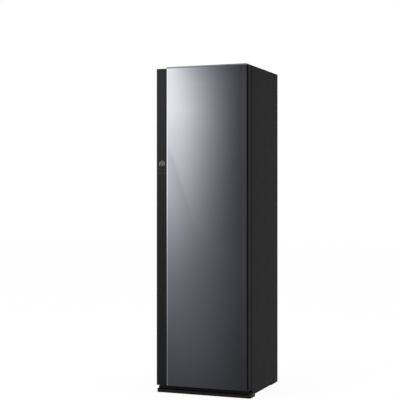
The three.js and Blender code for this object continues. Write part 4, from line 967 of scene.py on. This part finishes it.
def water_tank(name):
    """A clear tank with round corners, a grip and level lines, and a knurled cap on its lid."""
    node, lid = name + "_tank", name + "_tank_lid"
    low, high, middle = extent(node)
    wall, corner = 0.0025, 0.016

    def plan(inset):
        return inset_plan(low, high, inset, max(corner - inset, 0.004), 8)

    Form().shell([
        (plan(0.003), low.z), (plan(0.0009), low.z + 0.0009), (plan(0), low.z + 0.003), (plan(0), high.z - 0.0008),
        (plan(0.0008), high.z), (plan(wall), high.z), (plan(wall), low.z + 0.006), (plan(0.0055), low.z + 0.003),
    ]).instead(node + "_shell", node)
    start = (middle.x - 0.06, low.y - 0.009, high.z - 0.026)
    grip = Form().slab(start, (middle.x + 0.06, low.y + 0.001, high.z - 0.014), 0.004, 4)
    grip.settle(node + "_grip", node, "dark_plastic")
    marks, face, root = Form(), low.y - 0.0004, low.y + 0.0004
    for k in range(LEVEL_LINES):
        left, rise = middle.x - 0.075, low.z + 0.03 + 0.02 * k
        marks.slab((left, face, rise), (left + (0.013 if k % 2 else 0.022), root, rise + 0.0012))
    drop_x, drop_z, drop = middle.x + 0.05, low.z + 0.06, 0.0085
    marks.prism([(drop_x, drop_z + drop * 1.9)] + arc(drop_x, drop_z, drop, 145, 395, 14), "y", face, root)
    if name == "drain":
        marks.slab((middle.x + 0.034, face, low.z + 0.042), (middle.x + 0.066, root, low.z + 0.0445))
    marks.settle(node + "_marks", node, "fin_aluminium", "raised_mark")
    top = box[lid][1].z
    x, y = middle.x, middle.y + 0.012
    knurl = [(x + a, y + b) for k in range(64) for a, b in [circle(0.0205 if k % 4 < 2 else 0.0196, 64)[k]]]
    cap = Form().prism(knurl, "z", top - 0.001, top + 0.0062)
    dish = [(0, 0.006), (0.019, 0.006), (0.0182, 0.0074), (0.0165, 0.0078), (0.0155, 0.0068), (0, 0.0068)]
    cap.turned(dish, (x, y, top))
    cap.slab((x - 0.015, y - 0.002, top + 0.006), (x + 0.015, y + 0.002, top + 0.0082), 0.0009)
    cap.settle(node + "_cap", lid, "black_plastic")


def boiler():
    low, high = box["steam_generator"]
    path = round_path((low.x, high.x), (low.y, high.y), 0.005, low.z + 0.1, "z")
    flange = Form().sweep(oblong(0.0035, 0.002), path, True, Z)
    flange.settle("boiler_weld_flange", "steam_generator", "galvanised_steel")
    places = corner_places(low, high, 0.012, 0.012, high.z - 0.010)
    screws("boiler_top_screws", "steam_generator", "chrome_steel", places, Z, 0.005, 0.003)
    plug = [(0, 0), (0.009, 0), (0.009, 0.004), (0.0055, 0.005), (0.0055, 0.013), (0.003, 0.014), (0, 0.014)]
    plugs = Form()
    for x in (-0.03, 0.03):
        plugs.turned(plug, (x, low.y - 0.014, low.z + 0.03), "y", 24)
    plugs.settle("boiler_heater_ends", "steam_generator", "chrome_steel")


def steam_outlet():
    """The nozzle on its pipe, with a domed head and a ring of fine ribs."""
    low, high, middle = extent("steam_nozzle")
    flange = high.z - 0.018
    rings = [
        (0.007, 0), (0.021, 0), (0.022, 0.001), (0.022, 0.003), (0.021, 0.004), (0.0185, 0.0075),
        (0.0185, 0.0085), (0.0165, 0.0095), (0.0135, 0.0158), (0.0115, 0.018), (0.0065, 0.018), (0.0045, 0.016),
    ]
    profile = [(0.0045, low.z), (0.007, low.z)] + [(radius, flange + rise) for radius, rise in rings]
    Form().turned(profile, (middle.x, middle.y, 0)).instead("steam_outlet", "steam_nozzle")


def pump_ribs():
    low, _, middle = extent("water_pump")
    form, inner, outer, width, axis_height = Form(), 0.029, 0.0322, 0.003, 0.0798
    for k in range(6):
        at = low.x + 0.014 + 0.0105 * k
        ring = [(inner, at), (outer, at), (outer, at + width), (inner, at + width)]
        form.turned(ring, (0, middle.y, axis_height), "x", 40)
    form.settle("pump_cooling_ribs", "water_pump")


water_tank("supply")
water_tank("drain")
boiler()
steam_outlet()
pump_ribs()


# Drying unit and the control box
FIN_COUNT, TUBE_ROWS, TUBE_RADIUS = 150, 6, 0.0036


def exchanger(name):
    """Fine fins between two end plates, with copper tubes through them and bends outside."""
    low, high, middle = extent(name)
    plate, first_fin, fin_top = 0.0015, low.x + 0.005, high.z - 0.004
    gap = (fin_top - low.z - 0.03) / (TUBE_ROWS - 1)
    grown(slat_rule, name + "_fins", name, "fin_aluminium", {
        "Count": FIN_COUNT, "Start": (first_fin, middle.y, (low.z + fin_top) / 2),
        "Step": ((high.x - low.x - 0.01) / (FIN_COUNT - 1), 0, 0),
        "Size": (0.0004, high.y - low.y - 0.002, fin_top - low.z - 0.001),
    }, replaced=(name,))
    form = Form()
    for place in (low.x, high.x - plate):
        form.slab((place, low.y, low.z), (place + plate, high.y, high.z), 0.0003)
    for rise in (low.z, fin_top - plate):
        for side in (low.y, high.y - plate):
            form.slab((low.x, side, rise), (high.x, side + plate, rise + plate), 0.0003)
    form.settle(name + "_end_plates", name, "galvanised_steel")
    form = Form()
    for column in (middle.y - 0.011, middle.y + 0.011):
        for row in range(TUBE_ROWS):
            rise = low.z + 0.015 + gap * row
            form.tube(TUBE_RADIUS, [(low.x - 0.0005, column, rise), (high.x + 0.0005, column, rise)], 10)
        for bulge, end, first in ((-0.0045, low.x, 0), (0.0045, high.x, 1)):
            for row in range(first, TUBE_ROWS - 1, 2):
                bend = arc(end, low.z + 0.015 + gap * (row + 0.5), bulge, -90, 90, 8, gap / 2)
                form.tube(TUBE_RADIUS, [(x, column, z) for x, z in bend], 10)
    form.settle(name + "_copper_tubes", name, "copper_tube", smooth=50)


def filter_screen():
    level = extent("lint_filter")[2].y
    left, bottom, width, height, thread = -0.11, 0.35, 0.22, 0.067, 0.00035
    for side, way in (("front", -1), ("back", 1)):
        for name, shift, count, step, reach in (
            ("threads", 0.0018, 73, (width / 72, 0, 0), (0, 0, height)),
            ("weft", 0.0022, 23, (0, 0, height / 22), (width, 0, 0)),
        ):
            start = (left, level + way * shift, bottom)
            mesh = "filter_%s_%s" % (name, side)
            wires(mesh, "lint_filter", count, start, step, reach, thread, 4, slot="fin_aluminium")


def blower_motor():
    low, high, middle = extent("blower_motor")
    start, end = low.y, high.y
    bore, radius, seat = 0.0043, (high.x - low.x) / 2, low.y + 0.0123
    profile = [(0, seat), (bore, seat), (bore, start), (radius - 0.002, start), (radius, start + 0.002)]
    for k in range(3):
        at = start + 0.008 + 0.007 * k
        profile += [(radius, at), (radius - 0.0012, at + 0.0008), (radius - 0.0012, at + 0.0032), (radius, at + 0.004)]
    profile += [(radius, end - 0.003), (radius - 0.003, end), (0.010, end), (0.008, end - 0.001), (0, end - 0.001)]
    Form().turned(profile, (middle.x, 0, middle.z), "y", 40).instead("blower_motor_can", "blower_motor")


def compressor_pot():
    low, high, middle = extent("compressor")
    centre = Vector((middle.x, middle.y, low.z))
    pot, seam, height = 0.0505, 0.052, high.z - low.z
    profile = [
        (0, 0), (0.064, 0), (0.066, 0.0015), (0.066, 0.0045), (0.064, 0.006), (0.049, 0.006),
        (pot, 0.010), (pot, 0.074), (seam, 0.0755), (seam, 0.084), (pot, 0.0855),
    ] + arc(0, height * 0.8, pot, 0, 90, 12, height * 0.2)
    Form().turned(profile, centre, sides=64).instead("compressor_pot", "compressor")
    grommet = [(0, 0), (0.008, 0), (0.0085, 0.002), (0.007, 0.0045), (0.008, 0.0065), (0.004, 0.008), (0, 0.008)]
    form = Form()
    for a, b in arc(0, 0, 0.057, 90, 330, 2):
        form.turned(grommet, centre + Vector((a, b, 0.006)), sides=24)
    form.settle("compressor_grommets", "compressor", "grey_rubber")
    form = Form().slab(centre + Vector((-0.022, -0.0615, 0.07)), centre + Vector((0.022, -0.046, 0.125)), 0.003)
    form.settle("compressor_terminal_cover", "compressor", "black_plastic")


def pressure_pipe():
    """The copper pipe from the compressor, bent up into the condenser."""
    start, corner, turn = Vector((0.1593, 0.1460, 0.1014)), Vector((0.182, 0.1541, 0.1014)), 0.019
    back = (start - corner).normalized()
    bend = [corner + (back * (1 - a) + Z * (1 - b)) * turn for b, a in arc(0, 0, 1, 0, 90, 10)]
    top = Vector((corner.x, corner.y, box["refrigerant_pipe"][1].z))
    Form().tube(0.005, [start, *bend, top], 20).instead("pressure_pipe", "refrigerant_pipe", 50)


def grille_and_control_screws():
    low, high = box["floor_grille"]
    places = corner_places(low, high, 0.0035, 0.006, high.z)
    screws("outlet_grille_screws", "floor_grille", "chrome_steel", places, Z, 0.0024, 0.0009)
    low, high = box["control_box"]
    places = corner_places(low, high, 0.01, 0.01, high.z)
    screws("control_case_screws", "control_box", "chrome_steel", places, Z, 0.004, 0.0018)
    wires(
        "control_case_ribs", "control_box", 14, (low.x + 0.02, low.y + 0.004, low.z + 0.02),
        (0.0105, 0, 0), (0, 0, 0.1), 0.0022, 8, (1, 0.5, 1),
    )


exchanger("evaporator")
exchanger("condenser")
filter_screen()
blower_motor()
compressor_pot()
pressure_pipe()
grille_and_control_screws()


# The scene: floor, lamps, white surroundings and the camera
CAMERA_PLACE = (2.25507, -6.06986, 1.18243)
CAMERA_TURN = 21.42
CARD_DISTANCE = -3.31
CARD_SCALE, CARD_SHIFT, CARD_RISE = 1.5208, -1.1745, -0.6158
MIRROR_LEFT_EDGE, MIRROR_WIDTH, MIRROR_TINT = -0.198, 0.445, 0.3
WHITE = (1.0, 1.0, 1.0)


def stage_plane(name, finish, corners, hidden_from):
    """A flat face that belongs to the scene and not to the cabinet."""
    mesh = bpy.data.meshes.new(name)
    mesh.from_pydata(corners, [], [range(4)])
    plane = linked(name, mesh)
    plane.data.materials.append(finish)
    for rays in hidden_from:
        setattr(plane, "visible_" + rays, False)
    plane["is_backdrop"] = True


def glossy_card():
    """A panel in front of the door that only reflections see. Its places are scaled to those on the mirror."""
    finish, tree = blank_finish("reflected_card")
    place = wire(tree, "TexCoord", output="Object")
    parts = node_of(tree, "SeparateXYZ", {0: place}).outputs
    seen_x = times(maths("SUBTRACT", parts["X"], CARD_SHIFT), 1 / CARD_SCALE)
    seen_z = times(maths("SUBTRACT", parts["Z"], CARD_RISE), 1 / CARD_SCALE)
    height = maths("MAXIMUM", seen_z, 0.0)
    seen_z = maths("MINIMUM", height, 1.7)
    across = times(maths("SUBTRACT", seen_x, MIRROR_LEFT_EDGE), 1 / MIRROR_WIDTH, clamp=True)

    # Darker to the right and downwards, and paler left of the mirror
    fall = maths("SUBTRACT", 1.0, maths("POWER", across, 1.46))
    dark = line(seen_z, 0.0175 / MIRROR_TINT, 0.0245 / MIRROR_TINT)
    strength = times(dark, maths("EXPONENT", times(fall, line(seen_z, 1.2, 0.6))))
    beyond = line(line(seen_x, -1.6, -1.1, clamp=True), line(seen_z, -1.35, 2.55), 1.0)

    # A swell across the middle, a slow ripple upwards and a dim upper edge
    off_crest = maths("ABSOLUTE", maths("SUBTRACT", seen_z, line(across, -0.5, 1.22)))
    swell = line(line(off_crest, -2.0, 1.0, clamp=True), 0.19, 1.0)
    off_middle = line(across, 2.0, -1.1)
    middle = maths("SUBTRACT", 1.0, times(off_middle, off_middle), clamp=True)
    wave = line(maths("COSINE", line(height, 5.03, -1.26)), 0.135, 0.035)
    ripple = maths("ADD", times(middle, wave), 1.0)
    top = times(line(height, 12.0, -22.3, clamp=True), times(across, 3.0, clamp=True))

    # A faint line that slants down to the right, with a shade that fades to its left
    slant = maths("SUBTRACT", line(seen_z, -0.33, 0.2918), seen_x)
    beside = times(line(slant, 60.0, 0.5, clamp=True), line(slant, -9.0, 1.0, clamp=True))
    between = times(line(seen_z, -8.0, 12.2, clamp=True), line(seen_z, 3.5, -3.1, clamp=True))
    shade = line(times(beside, between), -0.13, 1.0)

    for factor in (beyond, swell, ripple, line(top, -0.15, 1.0), shade):
        strength = times(strength, factor)
    tone = blended(line(strength, 0.6, -0.2, clamp=True), (0.98, 1.0, 1.095), WHITE)
    glow = wire(tree, "Emission", {"Color": tone, "Strength": strength})
    node_of(tree, "OutputMaterial", {"Surface": glow})
    corners = [(x, CARD_DISTANCE, z) for x, z in ((-6, -1.5), (4, -1.5), (4, 4), (-6, 4))]
    stage_plane("reflected_card", finish, corners, ("camera", "diffuse", "shadow", "transmission"))


def pale_floor():
    finish, tree = blank_finish("pale_floor")
    speckle = spread(noise(pattern_place(tree), 0.4), 0, 1)
    matt = wire(tree, "BsdfDiffuse", {"Color": blended(speckle, (0.9, 0.9, 0.9), (0.94, 0.94, 0.94))})
    glow = wire(tree, "Emission", {"Strength": 1.03})
    share = times(wire(tree, "LightPath", output="Is Camera Ray"), 0.9)
    both = wire(tree, "MixShader", {0: share, 1: matt, 2: glow})
    node_of(tree, "OutputMaterial", {"Surface": both})
    stage_plane("pale_floor", finish, [(-20, -20, 0), (20, -20, 0), (20, 20, 0), (-20, 20, 0)], ("glossy",))


def surroundings():
    """White where the camera, a reflection or clear plastic looks past the cabinet, and dimmer as a light."""
    world = bpy.data.worlds.new("white_room")
    bpy.context.scene.world = world
    world.use_nodes = True
    tree = world.node_tree
    tree.nodes.clear()
    path = node_of(tree, "LightPath").outputs
    seen = maths("MAXIMUM", path["Is Camera Ray"], path["Is Glossy Ray"])
    seen = maths("MAXIMUM", seen, path["Is Transmission Ray"])
    white, light = (
        wire(tree, "Background", {"Color": (*WHITE, 1), "Strength": strength}) for strength in (1.0, 0.7)
    )
    node_of(tree, "OutputWorld", {"Surface": wire(tree, "MixShader", {0: seen, 1: light, 2: white})})


def lamp(name, place, target, size, power):
    data = bpy.data.lights.new(name, "AREA")
    data.shape = "RECTANGLE"
    data.size = data.size_y = size
    data.energy = power
    thing = linked(name, data)
    thing.location = place
    thing.rotation_euler = (Vector(target) - Vector(place)).to_track_quat("-Z", "Y").to_euler()
    thing.visible_camera = thing.visible_glossy = False


def camera():
    data = bpy.data.cameras.new("photo_camera")
    data.lens, data.sensor_width, data.shift_y = 93.78, 36, -0.0070
    thing = linked("photo_camera", data)
    thing.location = CAMERA_PLACE
    thing.rotation_euler = (radians(90), 0, radians(CAMERA_TURN))
    bpy.context.scene.camera = thing


glossy_card()
pale_floor()
surroundings()
lamp("soft_front_lamp", (-2.6, -4.6, 3.4), (0, 0, 1.0), 2.4, 90)
lamp("soft_side_lamp", (3.2, 1.1, 0.1), (0, 0.1, 0.3), 1.6, 52)
camera()
bpy.context.scene.view_settings.view_transform = "Standard"

({key: [list(corner) for corner in corners] for key, corners in
           (("cad", cad_box), ("visual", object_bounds()))})
